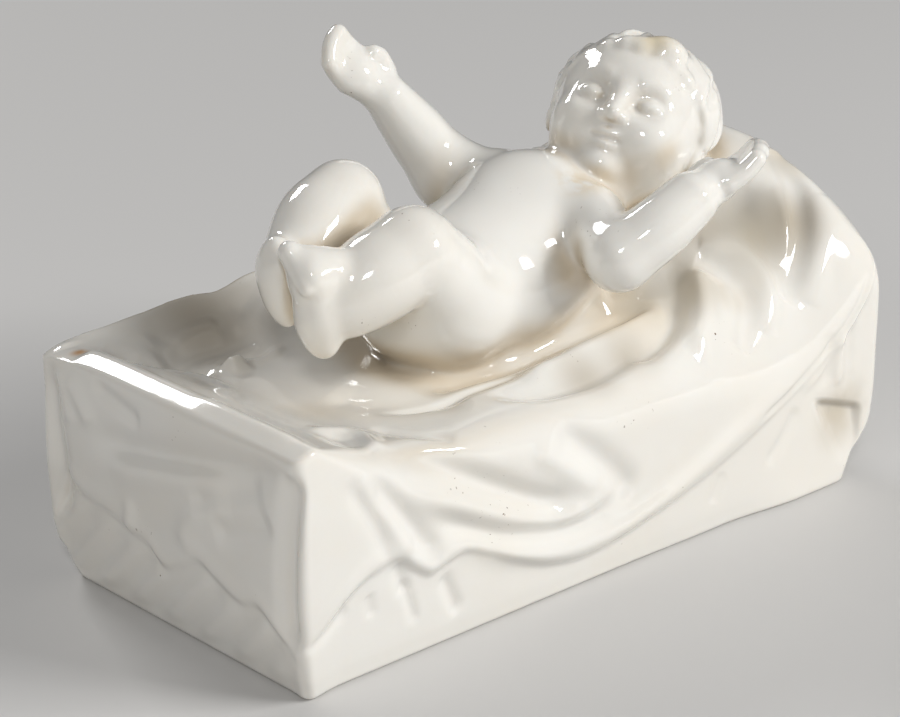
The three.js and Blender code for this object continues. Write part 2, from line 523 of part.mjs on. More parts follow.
function makeChild(clay) {
  const body = clay.part([-52, -36, 26], [56, 36, 86]);
  body.add(ellipsoid([-9, 0, 43], [11.5, 12, 10.5], SPINE), 3);
  body.add(ellipsoid([-14.5, -1, 41.5], [9.5, 11.5, 8.5]), 4);
  body.add(ellipsoid([1, 0, 46], [12.5, 12.2, 10.8], SPINE), 6);
  body.add(ellipsoid([4, 0, 42], [15, 12.4, 9.5], SPINE), 5);
  body.add(ellipsoid([13, 0, 46], [12, 12, 9.5], SPINE), 5);
  body.add(ellipsoid([12, 1.6, 50.2], [11.4, 12.4, 10], CHEST), 6);
  for (const s of [-1, 1]) { // the flanks
    body.add(limb([-8, 3.2 * s, 40.6, 8.5], [3, 4.4 * s, 40.8, 9.2], [13, 4.2 * s, 43, 8.8]), 5);
  }
  body.add(ellipsoid([18, -1.4, 49.6], [6.8, 11.6, 5.6], CHEST), 4);
  body.add(limb([19, -0.6, 49.4, 6], [27, -0.2, 54.6, 6.6]), 3);
  // legs, left then right: thigh, calf, foot
  body.add(limb([-11.5, -6.6, 42, 8.2], [-16.8, -8.4, 48.4, 8.0], [-22.6, -9.4, 54.6, 7.0]), 4.5);
  body.add(limb([-22.6, -9.4, 54.6, 6.9], [-28.8, -8.6, 52.2, 7.1], [-33.4, -7.4, 49.8, 6.2],
    [-36.2, -6.8, 48.6, 4.6]), 1.2);
  body.add(limb([-12, 7.2, 43, 7.4], [-17.4, 8.0, 50.6, 6.5], [-21.6, 8.2, 58.2, 6.1]), 3.5);
  body.add(limb([-21.2, 8.3, 58.4, 6.2], [-26.8, 7.2, 56.2, 6.9], [-31.8, 5.4, 53.8, 5.8],
    [-35.2, 4.4, 52.6, 4.4]), 1.2);
  foot(body, [-38.2, -6.6, 44], [-40.6, -6.2, 54.2], [-0.2, -0.97, 0.08], [-41.9, -3.8, 57.8],
    [-42.6, -8.4, 53.4]);
  foot(body, [-38, 2.6, 48.2], [-38.6, 2.8, 53], [0.1, 1, 0.05], [-39.4, 0.6, 54.6], [-39, 5, 54.2]);
  body.add(ellipsoid([-37.6, -6.4, 54.6], [4.2, 3.6, 3.6]), 2);
  body.add(ellipsoid([-39.8, -5.2, 56], [2.7, 2.8, 2.5]), 1.4);
  // arms, right (raised) then left: upper arm, forearm, hand
  body.add(limb([13, 11, 52.8, 5.8], [10.4, 17.6, 53.4, 5.8]), 3);
  body.add(limb([10, 18.6, 53.6, 5.6], [5.6, 20.7, 60.4, 5.1], [0.5, 22.5, 67.6, 3.8]), 3);
  hand(body, [-3.3, 24.4, 71.4], [-0.66, 0.3, 0.8], [-0.87, -0.21, -0.5], [0.1, -0.9, 0.3],
    [5.2, 5.6, 5.4, 4.6], 0.3, 1.5, 1.0);
  body.add(limb([14, -11, 52, 5.4], [10, -21, 49.4, 5.0]), 3);
  body.add(limb([9.7, -21.6, 49.2, 5.2], [15.4, -24.2, 53.4, 5.0], [21.4, -25.2, 57.0, 4.5]), 2);
  hand(body, [26.9, -25.2, 58.6], [0.8, -0.4, 0.5], [-0.562, -0.792, 0.086], [-0.258, 0.281, 0.9],
    [6.6, 7, 6.6, 5.6], 0.35, 1.0, 1.15);
  face(body);
  hair(body);
  clay.join(body, 1.8);
}

// From clay to a closed faceted surface.
const CORNERS = [...Array(8).keys()].map((c) => [c & 1, (c >> 1) & 1, (c >> 2) & 1]);
const EDGES = []; // pairs of corners, and the number of each edge by its pair
const EDGE_OF = new Map();
for (let a = 0; a < 8; a += 1) {
  for (const bit of [1, 2, 4]) {
    if (a & bit) continue;
    EDGE_OF.set(`${a} ${a | bit}`, EDGES.length);
    EDGES.push([a, a | bit]);
  }
}
const edgeBetween = (a, b) => EDGE_OF.get(`${Math.min(a, b)} ${Math.max(a, b)}`);
const FACES = []; // corners of the six faces, in turn
for (const [u, v, w] of [[1, 2, 4], [2, 4, 1], [4, 1, 2]]) {
  for (const side of [0, w]) FACES.push([side, side | u, side | u | v, side | v]);
}

// the crossed edges of one cell, gathered into the separate sheets that pass through it
function sheets(inside) {
  const sheet = EDGES.map(([a, b], e) => (inside[a] === inside[b] ? -1 : e));
  const join = (e, f) => {
    const [from, to] = [sheet[e], sheet[f]];
    sheet.forEach((s, i) => { if (s === from) sheet[i] = to; });
  };
  for (const face of FACES) {
    const rim = face.map((c, i) => edgeBetween(c, face[(i + 1) % 4]));
    const crossed = rim.filter((e) => sheet[e] >= 0);
    if (crossed.length === 2) join(...crossed);
    if (crossed.length === 4) {
      const first = inside[face[0]] ? 0 : 1;
      join(rim[(first + 3) % 4], rim[first]);
      join(rim[first + 1], rim[(first + 2) % 4]);
    }
  }
  return sheet;
}

// one vertex for every sheet in a lattice cell, one quad round every crossed lattice edge
function skin(clay) {
  const [nx, ny, nz] = clay.size;
  const { field } = clay;
  const strides = [ny * nz, nz, 1];
  const offsets = CORNERS.map((c) => c[0] * strides[0] + c[1] * strides[1] + c[2]);
  const patterns = new Map();
  const vertexOf = new Map(); // lattice cell to the vertex on each of its twelve edges
  const points = [];
  for (let i = 0; i + 1 < nx; i += 1) {
    for (let j = 0; j + 1 < ny; j += 1) {
      for (let k = 0; k + 1 < nz; k += 1) {
        const at = i * strides[0] + j * strides[1] + k;
        let mask = 0;
        for (let c = 0; c < 8; c += 1) if (field[at + offsets[c]] < 0) mask |= 1 << c;
        if (mask === 0 || mask === 255) continue;
        if (!patterns.has(mask)) patterns.set(mask, sheets(CORNERS.map((_, c) => (mask >> c) % 2 === 1)));
        const sheet = patterns.get(mask);
        const own = new Int32Array(12).fill(-1);
        for (const name of new Set(sheet)) {
          if (name < 0) continue;
          const total = [0, 0, 0];
          let hits = 0;
          EDGES.forEach(([a, b], e) => {
            if (sheet[e] !== name) return;
            const [fa, fb] = [field[at + offsets[a]], field[at + offsets[b]]];
            const t = fa / (fa - fb);
            for (let m = 0; m < 3; m += 1) total[m] += CORNERS[a][m] + t * (CORNERS[b][m] - CORNERS[a][m]);
            hits += 1;
            own[e] = points.length;
          });
          points.push([i, j, k].map((v, m) => clay.low[m] + STEP * (v + total[m] / hits)));
        }
        vertexOf.set(at, own);
      }
    }
  }
  const triangles = [];
  const gap = (a, b) => Math.hypot(...sub(points[a], points[b]));
  for (const at of vertexOf.keys()) {
    for (let axis = 0; axis < 3; axis += 1) {
      const inside = field[at] < 0;
      if (inside === field[at + strides[axis]] < 0) continue;
      const [b, c] = [(axis + 1) % 3, (axis + 2) % 3];
      const ring = [[0, 0], [1, 0], [1, 1], [0, 1]].map(([back, down]) => {
        const corner = (back << b) | (down << c);
        const own = vertexOf.get(at - back * strides[b] - down * strides[c]);
        return own[edgeBetween(corner, corner | (1 << axis))];
      });
      if (!inside) ring.reverse();
      const [p, q, r, s] = gap(ring[0], ring[2]) < gap(ring[1], ring[3]) ? ring : [...ring.slice(1), ring[0]];
      triangles.push([p, q, r], [p, r, s]);
    }
  }
  return { points, triangles };
}

// joins the ends of the edges that shape the surface least, until few enough facets are left
function simplify({ points, triangles }, wanted) {
  const quadrics = points.map(() => new Float64Array(10));
  const around = points.map(() => new Set());
  const live = triangles.map(() => true);
  const facing = (a, b, c) => cross(sub(b, a), sub(c, a));
  triangles.forEach((tri, index) => {
    const [a, b, c] = tri.map((v) => points[v]);
    const n = facing(a, b, c);
    const area = Math.hypot(...n) || 1e-12;
    const [x, y, z] = mul(n, 1 / area);
    const d = -(x * a[0] + y * a[1] + z * a[2]);
    const plane = [x * x, x * y, x * z, x * d, y * y, y * z, y * d, z * z, z * d, d * d];
    for (const v of tri) {
      around[v].add(index);
      for (let m = 0; m < 10; m += 1) quadrics[v][m] += plane[m] * area;
    }
  });
  const error = (q, [x, y, z]) => q[0] * x * x + 2 * q[1] * x * y + 2 * q[2] * x * z + 2 * q[3] * x
    + q[4] * y * y + 2 * q[5] * y * z + 2 * q[6] * y + q[7] * z * z + 2 * q[8] * z + q[9];
  const solve = (q) => { // the point nearest all the planes, by Cramer's rule
    const rows = [[q[0], q[1], q[2]], [q[1], q[4], q[5]], [q[2], q[5], q[7]]];
    const c = [-q[3], -q[6], -q[8]];
    const det = dot(rows[0], cross(rows[1], rows[2]));
    if (Math.abs(det) < 1e-4 * (q[0] + q[4] + q[7]) ** 3) return null;
    return [0, 1, 2].map((m) => {
      const swapped = rows.map((row, i) => row.map((v, j) => (j === m ? c[i] : v)));
      return dot(swapped[0], cross(swapped[1], swapped[2])) / det;
    });
  };
  const version = new Int32Array(points.length);
  const heap = [];
  const push = (item) => {
    let at = heap.push(item) - 1;
    while (at > 0) {
      const up = (at - 1) >> 1;
      if (heap[up].cost <= heap[at].cost) break;
      [heap[up], heap[at]] = [heap[at], heap[up]];
      at = up;
    }
  };
  const pop = () => {
    const first = heap[0];
    const last = heap.pop();
    if (heap.length > 0) {
      heap[0] = last;
      for (let at = 0; ;) {
        let low = 2 * at + 1;
        if (low >= heap.length) break;
        if (low + 1 < heap.length && heap[low + 1].cost < heap[low].cost) low += 1;
        if (heap[at].cost <= heap[low].cost) break;
        [heap[at], heap[low]] = [heap[low], heap[at]];
        at = low;
      }
    }
    return first;
  };
  const offer = (u, v) => {
    const q = quadrics[u].map((value, m) => value + quadrics[v][m]);
    const [a, b] = [points[u], points[v]];
    const long = Math.hypot(...sub(a, b));
    const best = solve(q);
    const spots = [mul(add(a, b), 0.5), a, b];
    if (best && Math.hypot(...sub(best, spots[0])) < long) spots.push(best);
    let [spot, cost] = [null, Infinity];
    for (const p of spots) {
      const e = Math.max(error(q, p), 0);
      if (e < cost) [spot, cost] = [p, e];
    }
    push({ u, v, spot, cost: cost + 2e-4 * long * long, stamp: version[u] + version[v] });
  };
  const neighbours = (v) => {
    const out = new Set();
    for (const index of around[v]) for (const w of triangles[index]) if (w !== v) out.add(w);
    return out;
  };
  points.forEach((_, u) => {
    for (const v of neighbours(u)) if (u < v) offer(u, v);
  });
  let left = triangles.length;
  while (left > wanted && heap.length > 0) {
    const { u, v, spot, stamp } = pop();
    if (around[u].size === 0 || around[v].size === 0 || stamp !== version[u] + version[v]) continue;
    const [nu, nv] = [neighbours(u), neighbours(v)];
    if (!nu.has(v) || [...nu].filter((w) => nv.has(w)).length !== 2) continue;
    const turned = [u, v].some((end) => [...around[end]].some((index) => {
      const tri = triangles[index];
      if (tri.includes(u) && tri.includes(v)) return false;
      const old = tri.map((w) => points[w]);
      const moved = tri.map((w) => (w === end ? spot : points[w]));
      const [n0, n1] = [facing(...old), facing(...moved)];
      const [size0, size1] = [Math.hypot(...n0), Math.hypot(...n1)];
      const longest = Math.max(...moved.map((p, m) => Math.hypot(...sub(p, moved[(m + 1) % 3]))));
      return dot(n0, n1) < 0.35 * size0 * size1 || size1 < 0.06 * longest * longest;
    }));
    if (turned) continue;
    for (const index of [...around[v]]) {
      if (triangles[index].includes(u)) {
        live[index] = false;
        left -= 1;
        for (const w of triangles[index]) around[w].delete(index);
      } else {
        triangles[index] = triangles[index].map((w) => (w === v ? u : w));
        around[u].add(index);
      }
    }
    around[v].clear();
    points[u] = spot;
    for (let m = 0; m < 10; m += 1) quadrics[u][m] += quadrics[v][m];
    version[u] += 1;
    version[v] += 1;
    for (const w of neighbours(u)) offer(Math.min(u, w), Math.max(u, w));
  }
  return { points, triangles: triangles.filter((_, index) => live[index]) };
}

function toMesh(name, { points, triangles }, colour) {
  const index = new Map();
  const positions = [];
  const order = triangles.map((tri) => tri.map((v) => {
    if (!index.has(v)) {
      index.set(v, index.size);
      const [x, y, z] = points[v];
      positions.push(x - MIDDLE_X, y, Math.abs(z) < 0.02 ? 0 : z); // the underside is one plane
    }
    return index.get(v);
  }));
  const geometry = new THREE.BufferGeometry();
  geometry.setAttribute("position", new THREE.BufferAttribute(new Float32Array(positions), 3));
  geometry.setIndex(order.flat());
  geometry.computeVertexNormals();
  const material = new THREE.MeshStandardMaterial({ color: colour, roughness: 0.15, metalness: 0 });
  const mesh = new THREE.Mesh(geometry, material);
  mesh.name = name;
  return mesh;
}

const clay = new Clay([-68, -36, -3], [70, 36, 87]);
makeBed(clay);
makeChild(clay);

const figure = new THREE.Group();
figure.name = "crib figure";
figure.add(toMesh("figurine", simplify(skin(clay), TRIANGLES), 0xf1ede4));

export default figure;
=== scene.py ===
"""A glazed porcelain crib figure: an infant lying on a draped bed, slip cast in one piece.

The form is modelled like clay on a fine lattice of distances: rounded lumps and tubes melt into
each other, soft strokes raise and sink folds, locks and creases, and the surface where the
distance is nought becomes the mesh. The sizes are those of the CAD solid, in millimetres, with
+X from the feet to the head, +Y to the child's right and +Z up.
"""
import math

import bpy
import numpy as np
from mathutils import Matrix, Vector


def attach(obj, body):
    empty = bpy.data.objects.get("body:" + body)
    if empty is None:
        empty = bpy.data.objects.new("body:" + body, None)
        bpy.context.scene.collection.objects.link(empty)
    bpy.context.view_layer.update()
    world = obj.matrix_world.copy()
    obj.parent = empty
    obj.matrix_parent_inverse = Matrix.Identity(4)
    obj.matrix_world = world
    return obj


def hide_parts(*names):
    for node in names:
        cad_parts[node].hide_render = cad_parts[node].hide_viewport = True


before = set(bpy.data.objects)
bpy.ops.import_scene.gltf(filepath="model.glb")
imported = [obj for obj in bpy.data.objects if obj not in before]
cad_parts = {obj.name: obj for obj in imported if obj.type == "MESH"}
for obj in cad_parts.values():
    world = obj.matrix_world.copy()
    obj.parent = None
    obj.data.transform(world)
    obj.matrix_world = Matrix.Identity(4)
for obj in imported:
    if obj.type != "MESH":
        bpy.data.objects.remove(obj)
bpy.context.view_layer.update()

MIDDLE_X = 0.6  # middle of the length, which is the origin of the part
STEP = 0.4  # lattice step
TRIANGLES = 190000  # kept in the finished mesh
FAR = 50.0  # distance where there is no clay yet


def unit(v):
    v = np.asarray(v, float)
    return v / np.linalg.norm(v)


def smooth_min(a, b, k):
    h = np.maximum(k - np.abs(a - b), 0)
    return np.minimum(a, b) - h * h / (4 * k)


def smooth_max(a, b, k):
    return -smooth_min(-a, -b, k)


def curve(points, per_span=5):
    """A smooth line through points; two points give a straight one."""
    p = np.array(points, np.float32)
    if len(p) == 2:
        return p
    ends = np.vstack([2 * p[0] - p[1], p, 2 * p[-1] - p[-2]])
    out = []
    for a, b, c, d in zip(ends, ends[1:], ends[2:], ends[3:]):
        for t in np.arange(per_span) / per_span:
            out.append(0.5 * (2 * b + (c - a) * t + (2 * a - 5 * b + 4 * c - d) * t ** 2
                              + (3 * b - a - 3 * c + d) * t ** 3))
    return np.array(out + [p[-1]], np.float32)


def profile(*knots):
    """A smooth value along one axis through (place, value) knots, flat beyond the ends."""
    places, values = np.array(knots, float).T
    slope = np.gradient(values, places)
    slope[0] = slope[-1] = 0

    def value(x):
        x = np.clip(x, places[0], places[-1])
        i = np.clip(np.searchsorted(places, x) - 1, 0, len(places) - 2)
        w = places[i + 1] - places[i]
        t = (x - places[i]) / w
        start = values[i] * (1 + 2 * t) * (1 - t) ** 2 + slope[i] * w * t * (1 - t) ** 2
        end = values[i + 1] * t * t * (3 - 2 * t) + slope[i + 1] * w * t * t * (t - 1)
        return (start + end).astype(np.float32)

    return value


def ellipsoid(centre, radii, along=(1, 0, 0), across=(0, 1, 0)):
    """A lump with its radii along the first axis, across the second, and through both."""
    a = unit(along)
    b = np.asarray(across, float)
    b = unit(b - a * (a @ b))
    axes = np.array([a, b, np.cross(a, b)], np.float32)
    r = np.asarray(radii, np.float32)
    centre = np.asarray(centre, np.float32)

    def distance(x, y, z):
        x, y, z = x - centre[0], y - centre[1], z - centre[2]
        q = [x * axis[0] + y * axis[1] + z * axis[2] for axis in axes]
        k0 = np.sqrt(sum((qi / ri) ** 2 for qi, ri in zip(q, r)))
        k1 = np.sqrt(sum((qi / ri ** 2) ** 2 for qi, ri in zip(q, r)))
        return k0 * (k0 - 1) / np.maximum(k1, 1e-6)

    reach = np.sqrt(((axes * r[:, None]) ** 2).sum(0))
    return distance, centre - reach, centre + reach


def limb(*nodes):
    """A rounded tube along a smooth curve through (x, y, z, radius) nodes."""
    nodes = curve(nodes, 8)

    def distance(x, y, z):
        best = None
        for p, q in zip(nodes[:-1], nodes[1:]):
            d = q[:3] - p[:3]
            t = np.clip(((x - p[0]) * d[0] + (y - p[1]) * d[1] + (z - p[2]) * d[2]) / (d @ d), 0, 1)
            near = np.sqrt((x - p[0] - d[0] * t) ** 2 + (y - p[1] - d[1] * t) ** 2
                           + (z - p[2] - d[2] * t) ** 2) - (p[3] + (q[3] - p[3]) * t)
            best = near if best is None else np.minimum(best, near)
        return best

    reach = nodes[:, 3:4]
    return distance, (nodes[:, :3] - reach).min(0), (nodes[:, :3] + reach).max(0)


def cut_by(shape, point, normal, blend):
    """The shape without what lies beyond a plane."""
    distance, low, high = shape
    n = unit(normal)
    c = float(n @ np.asarray(point, float))

    def both(x, y, z):
        return smooth_max(distance(x, y, z), x * n[0] + y * n[1] + z * n[2] - c, blend)

    return both, low, high


class Clay:
    """A lattice of distances to the surface, negative inside."""

    def __init__(self, low, high, step):
        self.step, self.low = step, np.array(low, float)
        n = np.ceil((np.array(high) - self.low) / step).astype(int) + 1
        self.axes = [(self.low[i] + step * np.arange(n[i])).astype(np.float32) for i in range(3)]
        self.field = np.full(n, FAR, np.float32)

    def window(self, low, high):
        cut = tuple(slice(max(0, np.searchsorted(axis, a)), min(len(axis), np.searchsorted(axis, b) + 1))
                    for axis, a, b in zip(self.axes, low, high))
        x, y, z = (axis[c] for axis, c in zip(self.axes, cut))
        return cut, x[:, None, None], y[None, :, None], z[None, None, :]

    def part(self, low, high):
        """An empty piece of clay on the same lattice."""
        low = self.low + np.round((np.array(low) - self.low) / self.step) * self.step
        return Clay(low, high, self.step)

    def join(self, part, blend):
        a = np.round((part.low - self.low) / self.step).astype(int)
        cut = tuple(slice(i, i + n) for i, n in zip(a, part.field.shape))
        self.field[cut] = smooth_min(self.field[cut], part.field, blend)

    def add(self, shape, blend):
        distance, low, high = shape
        cut, x, y, z = self.window(low - blend - 2, high + blend + 2)
        self.field[cut] = smooth_min(self.field[cut], distance(x, y, z), blend)

    def carve(self, shape, blend):
        distance, low, high = shape
        cut, x, y, z = self.window(low - blend - 2, high + blend + 2)
        self.field[cut] = smooth_max(self.field[cut], -distance(x, y, z), blend)

    def press(self, points, width, height):
        """Raises, or sinks where height is negative, a soft stroke along a smooth curve."""
        path = curve(points)
        reach = 3 * width
        cut, x, y, z = self.window(path.min(0) - reach, path.max(0) + reach)
        best = along = None
        for i, (p, q) in enumerate(zip(path[:-1], path[1:])):
            d = q - p
            t = np.clip(((x - p[0]) * d[0] + (y - p[1]) * d[1] + (z - p[2]) * d[2]) / (d @ d), 0, 1)
            near = (x - p[0] - d[0] * t) ** 2 + (y - p[1] - d[1] * t) ** 2 + (z - p[2] - d[2] * t) ** 2
            s = (i + t) / (len(path) - 1)
            along = s if best is None else np.where(near < best, s, along)
            best = near if best is None else np.minimum(near, best)
        fade = np.clip(4 * along * (1 - along), 0, 1) ** 0.5
        self.field[cut] -= (height * fade * np.exp(-best / width ** 2)).astype(np.float32)

    def at(self, points):
        """The distance at points, and the way out of the clay there."""
        f = self.field
        p = (points - self.low) / self.step
        base = np.clip(p.astype(int), 1, np.array(f.shape) - 3)
        t = p - base
        value, way = 0, 0
        for corner in np.ndindex(2, 2, 2):  # the eight lattice points around each point
            w = np.prod(np.where(corner, t, 1 - t), axis=1)
            i, j, k = (base + corner).T
            value = value + w * f[i, j, k]
            rise = np.stack([f[i + 1, j, k] - f[i - 1, j, k], f[i, j + 1, k] - f[i, j - 1, k],
                             f[i, j, k + 1] - f[i, j, k - 1]], 1)
            way = way + w[:, None] * rise / (2 * self.step)
        return value, way

    def settle(self, points, rounds=4):
        """Points near the surface brought onto it, with the normals there."""
        for _ in range(rounds):
            value, way = self.at(points)
            size = np.linalg.norm(way, axis=1, keepdims=True) + 1e-9
            points = points - way / size * np.clip(value[:, None] / size, -0.4 * self.step, 0.4 * self.step)
        way = self.at(points)[1]
        return points, way / (np.linalg.norm(way, axis=1, keepdims=True) + 1e-9)

    def skin(self):
        """Vertices and quads of the surface: one vertex in each cell that it crosses."""
        inside = self.field < 0
        size = np.array(inside.shape) - 1
        count = sum(inside[i:size[0] + i, j:size[1] + j, k:size[2] + k].astype(np.int8)
                    for i, j, k in np.ndindex(2, 2, 2))
        active = (count > 0) & (count < 8)
        cells = np.argwhere(active)
        index = np.full(active.shape, -1, np.int64)
        index[active] = np.arange(len(cells))
        total, hits = np.zeros((len(cells), 3)), np.zeros(len(cells))
        for a in np.ndindex(2, 2, 2):
            for axis in range(3):
                if a[axis]:
                    continue
                b = np.array(a) + np.eye(3, dtype=int)[axis]
                fa, fb = self.field[tuple((cells + a).T)], self.field[tuple((cells + b).T)]
                cross = (fa < 0) != (fb < 0)
                t = np.where(cross, fa / np.where(cross, fa - fb, 1), 0)
                total += (np.array(a) + t[:, None] * (b - a)) * cross[:, None]
                hits += cross
        quads = []
        for axis in range(3):
            b, c = (axis + 1) % 3, (axis + 2) % 3
            first, second = [slice(1, -1)] * 3, [slice(1, -1)] * 3
            first[axis], second[axis] = slice(0, -1), slice(1, None)
            fa, fb = inside[tuple(first)], inside[tuple(second)]
            for outward in (True, False):
                where = np.argwhere((fa != fb) & (fa == outward))
                where[:, [b, c]] += 1
                eb, ec = np.eye(3, dtype=int)[b], np.eye(3, dtype=int)[c]
                q = np.stack([index[tuple(r.T)] for r in (where, where - eb, where - eb - ec, where - ec)], 1)
                quads.append(q if outward else q[:, ::-1])
        return self.low + self.step * (cells + total / hits[:, None]), np.vstack(quads)


# the bed: its ends, half width, the cloth's thickness at its hem, and the spacing of the gathers
FOOT_X, HEAD_X = -63.7, 65.0
HALF_W = 31.2
CLOTH = 0.9
GATHER = 8.35

# heights of the top along the bed, at its near rim, its middle and its far rim
near_rim = profile(
    (-67, 37.3), (-63.4, 38.7), (-62.4, 39.1), (-61.4, 39.5), (-60.6, 39.8), (-60.1, 39.9), (-59.4, 39.8),
    (-57.5, 39), (-53, 37.4), (-46, 35.7), (-40, 34.6), (-20, 33.6), (0, 32.2), (12, 31.6), (22, 30.4),
    (30, 28.8), (38, 28.2), (46, 30), (52, 34.4), (57, 38.4), (64, 39))
centre_line = profile(
    (-67, 37.5), (-63.4, 38.9), (-62.4, 39.3), (-61.4, 39.7), (-60.6, 40), (-60.1, 40.1), (-59.4, 39.9),
    (-57.5, 39), (-53, 37.2), (-49, 35.4), (-44, 33.6), (-38, 32.6), (-25, 33.2), (-10, 34.0), (5, 36.5),
    (18, 41.5), (30, 48.5), (40, 53.5), (50, 56.6), (57, 56.8), (61, 54.9), (65, 50.8))
far_rim = profile(
    (-67, 35.6), (-63.4, 37.2), (-60.5, 38.2), (-57, 38.9), (-52, 40.5), (-45, 44.4), (-39, 45.8),
    (-34, 45.8), (-30, 45), (-24, 46), (-12, 44.8), (0, 44.5), (25, 47.5), (45, 50.6), (55, 50), (64, 44))

# how far each wall leans in, by height
foot_in = profile((0, 2.2), (4, 1.3), (10, 0.4), (18, 0.0), (40, 0.0))
head_in = profile(
    (0, 6.8), (2.6, 6.0), (4.2, 5.1), (6.4, 3.4), (9.1, 1.4), (12.8, 0.6), (17, 0.3), (22, 0.3), (34, 0.4),
    (45, 1.6), (57, 5.0))
side_in = profile((0, 1.6), (4, 0.9), (12, 0.2), (24, 0.0), (50, 0.8))

# height of the cloth's hem along each wall
near_hem = profile(
    (-63, 8.0), (-60.2, 10.7), (-56.4, 13.9), (-52, 16.7), (-48, 17.9), (-44.9, 18.2), (-41.5, 15.8),
    (-38.4, 13.9), (-35, 14.6), (-31.6, 15.3), (-27.5, 13.9), (-21.2, 10.7), (-14.2, 7.6), (-7, 6.1),
    (0.5, 6.6), (8, 8.2), (15.5, 9.9), (23.4, 12.3), (31.2, 15.3), (39.1, 18.9), (46.4, 22.4), (55.3, 28.2),
    (60, 33.5), (64, 38))
far_hem = profile(
    (-63, 7), (-57, 12), (-48, 13), (-34, 17), (-18, 10), (2, 14), (22, 8), (40, 15), (64, 22))
foot_hem = profile(
    (-31, 6.5), (-29, 7.8), (-25, 10.8), (-21.3, 13.2), (-17.1, 12.5), (-10.9, 14.5), (-7.8, 15.7),
    (-2.9, 13.4), (1.6, 12.0), (4.4, 13.9), (9.4, 15.1), (15.1, 16.5), (20.3, 16.9), (23.9, 18.1),
    (26, 18.5), (28.4, 13), (31, 7))
head_hem = profile((-31, 33), (-20, 22), (-6, 14), (8, 19), (20, 13), (31, 22))

# each fold: the line it follows on its face, half width, height above the cloth (below where negative)
TOP_FOLDS = (
    (((-8, -11.5), (0, -10.5), (6, -10.6), (12.3, -13), (16, -14.2)), 1.6, 2.2),
    (((-24, -12.5), (-15.8, -12.5), (-7.3, -14), (1.7, -14.6), (10.6, -16.4), (19, -17.5), (25, -17.5)),
     2.4, -2.0),
    (((-33, -13.4), (-25.5, -17.1), (-16.2, -17.5), (-5.4, -17.8), (2.5, -18.5)), 1.0, -0.7),
    (((-10, -20), (-2, -19.6), (8.6, -20), (16, -20.4), (23.4, -19.4)), 1.8, 1.2),
    (((-17.6, -20.6), (-11.5, -24), (-2.3, -25.2), (5.2, -24.6), (12, -23.6), (19, -22.6), (25, -19.8),
      (27.5, -15)), 2.2, -1.7),
    (((20, -29), (25.3, -26.5), (28, -23.1), (29.6, -19)), 2.2, 1.7),
    (((9, -24.6), (17, -23.4), (22.4, -20.4), (24.4, -15.6)), 3.2, -1.6),
    (((44.3, -22.5), (44.4, -16.5)), 4.2, -2.0),
    (((-51, -19.4), (-46.6, -16.8), (-43, -17.2), (-42.4, -20.6), (-44.6, -25.4), (-48, -29)), 1.6, 0.6),
    (((-47.8, -21), (-48.8, -24)), 2.6, -0.7),
    (((-38.6, -17.5), (-35.6, -24.5), (-31, -28.5)), 1.4, -0.6),
    (((-59.8, -3), (-59.8, -14), (-59.6, -27)), 2.0, 0.3),
    (((-60.4, 22), (-59.8, 29)), 2.0, -0.6),
    (((-57, 24), (-53.5, 19.5), (-49.5, 17.8), (-45, 17), (-43, 13.5)), 2.6, -1.8),
    (((-52.8, 14), (-48.7, 13.7), (-46.3, 12.2), (-46, 9), (-46.6, 5.8)), 1.6, 0.5),
    (((-38.9, 14.5), (-37.6, 14.8)), 1.6, 2.3),
    (((-37, 16.4), (-33.8, 14.9), (-31, 15), (-27.4, 16.4)), 1.0, 0.5),
    (((-47.6, 24.8), (-41.6, 26.4), (-34.4, 27), (-28.3, 26.2)), 2.0, -0.9),
    (((-49.1, 20), (-43, 20.6), (-35, 21.4), (-27.1, 22)), 2.8, -1.4),
    (((-43.8, 23.4), (-38.1, 24.4), (-33.2, 24.4)), 1.7, 0.5),
    (((-28, 25.8), (-24, 26.6)), 1.6, -1.0),
    (((-33, -2), (-29, -12), (-20, -20)), 4.0, -0.8),
    (((-20, 24), (0, 22), (20, 20)), 4.0, -1.4),
    (((44, 22), (52, 12), (50, -2)), 5.0, 0.6),
    (((38, 27), (48, 22), (56, 12)), 2.5, -1.6),
)
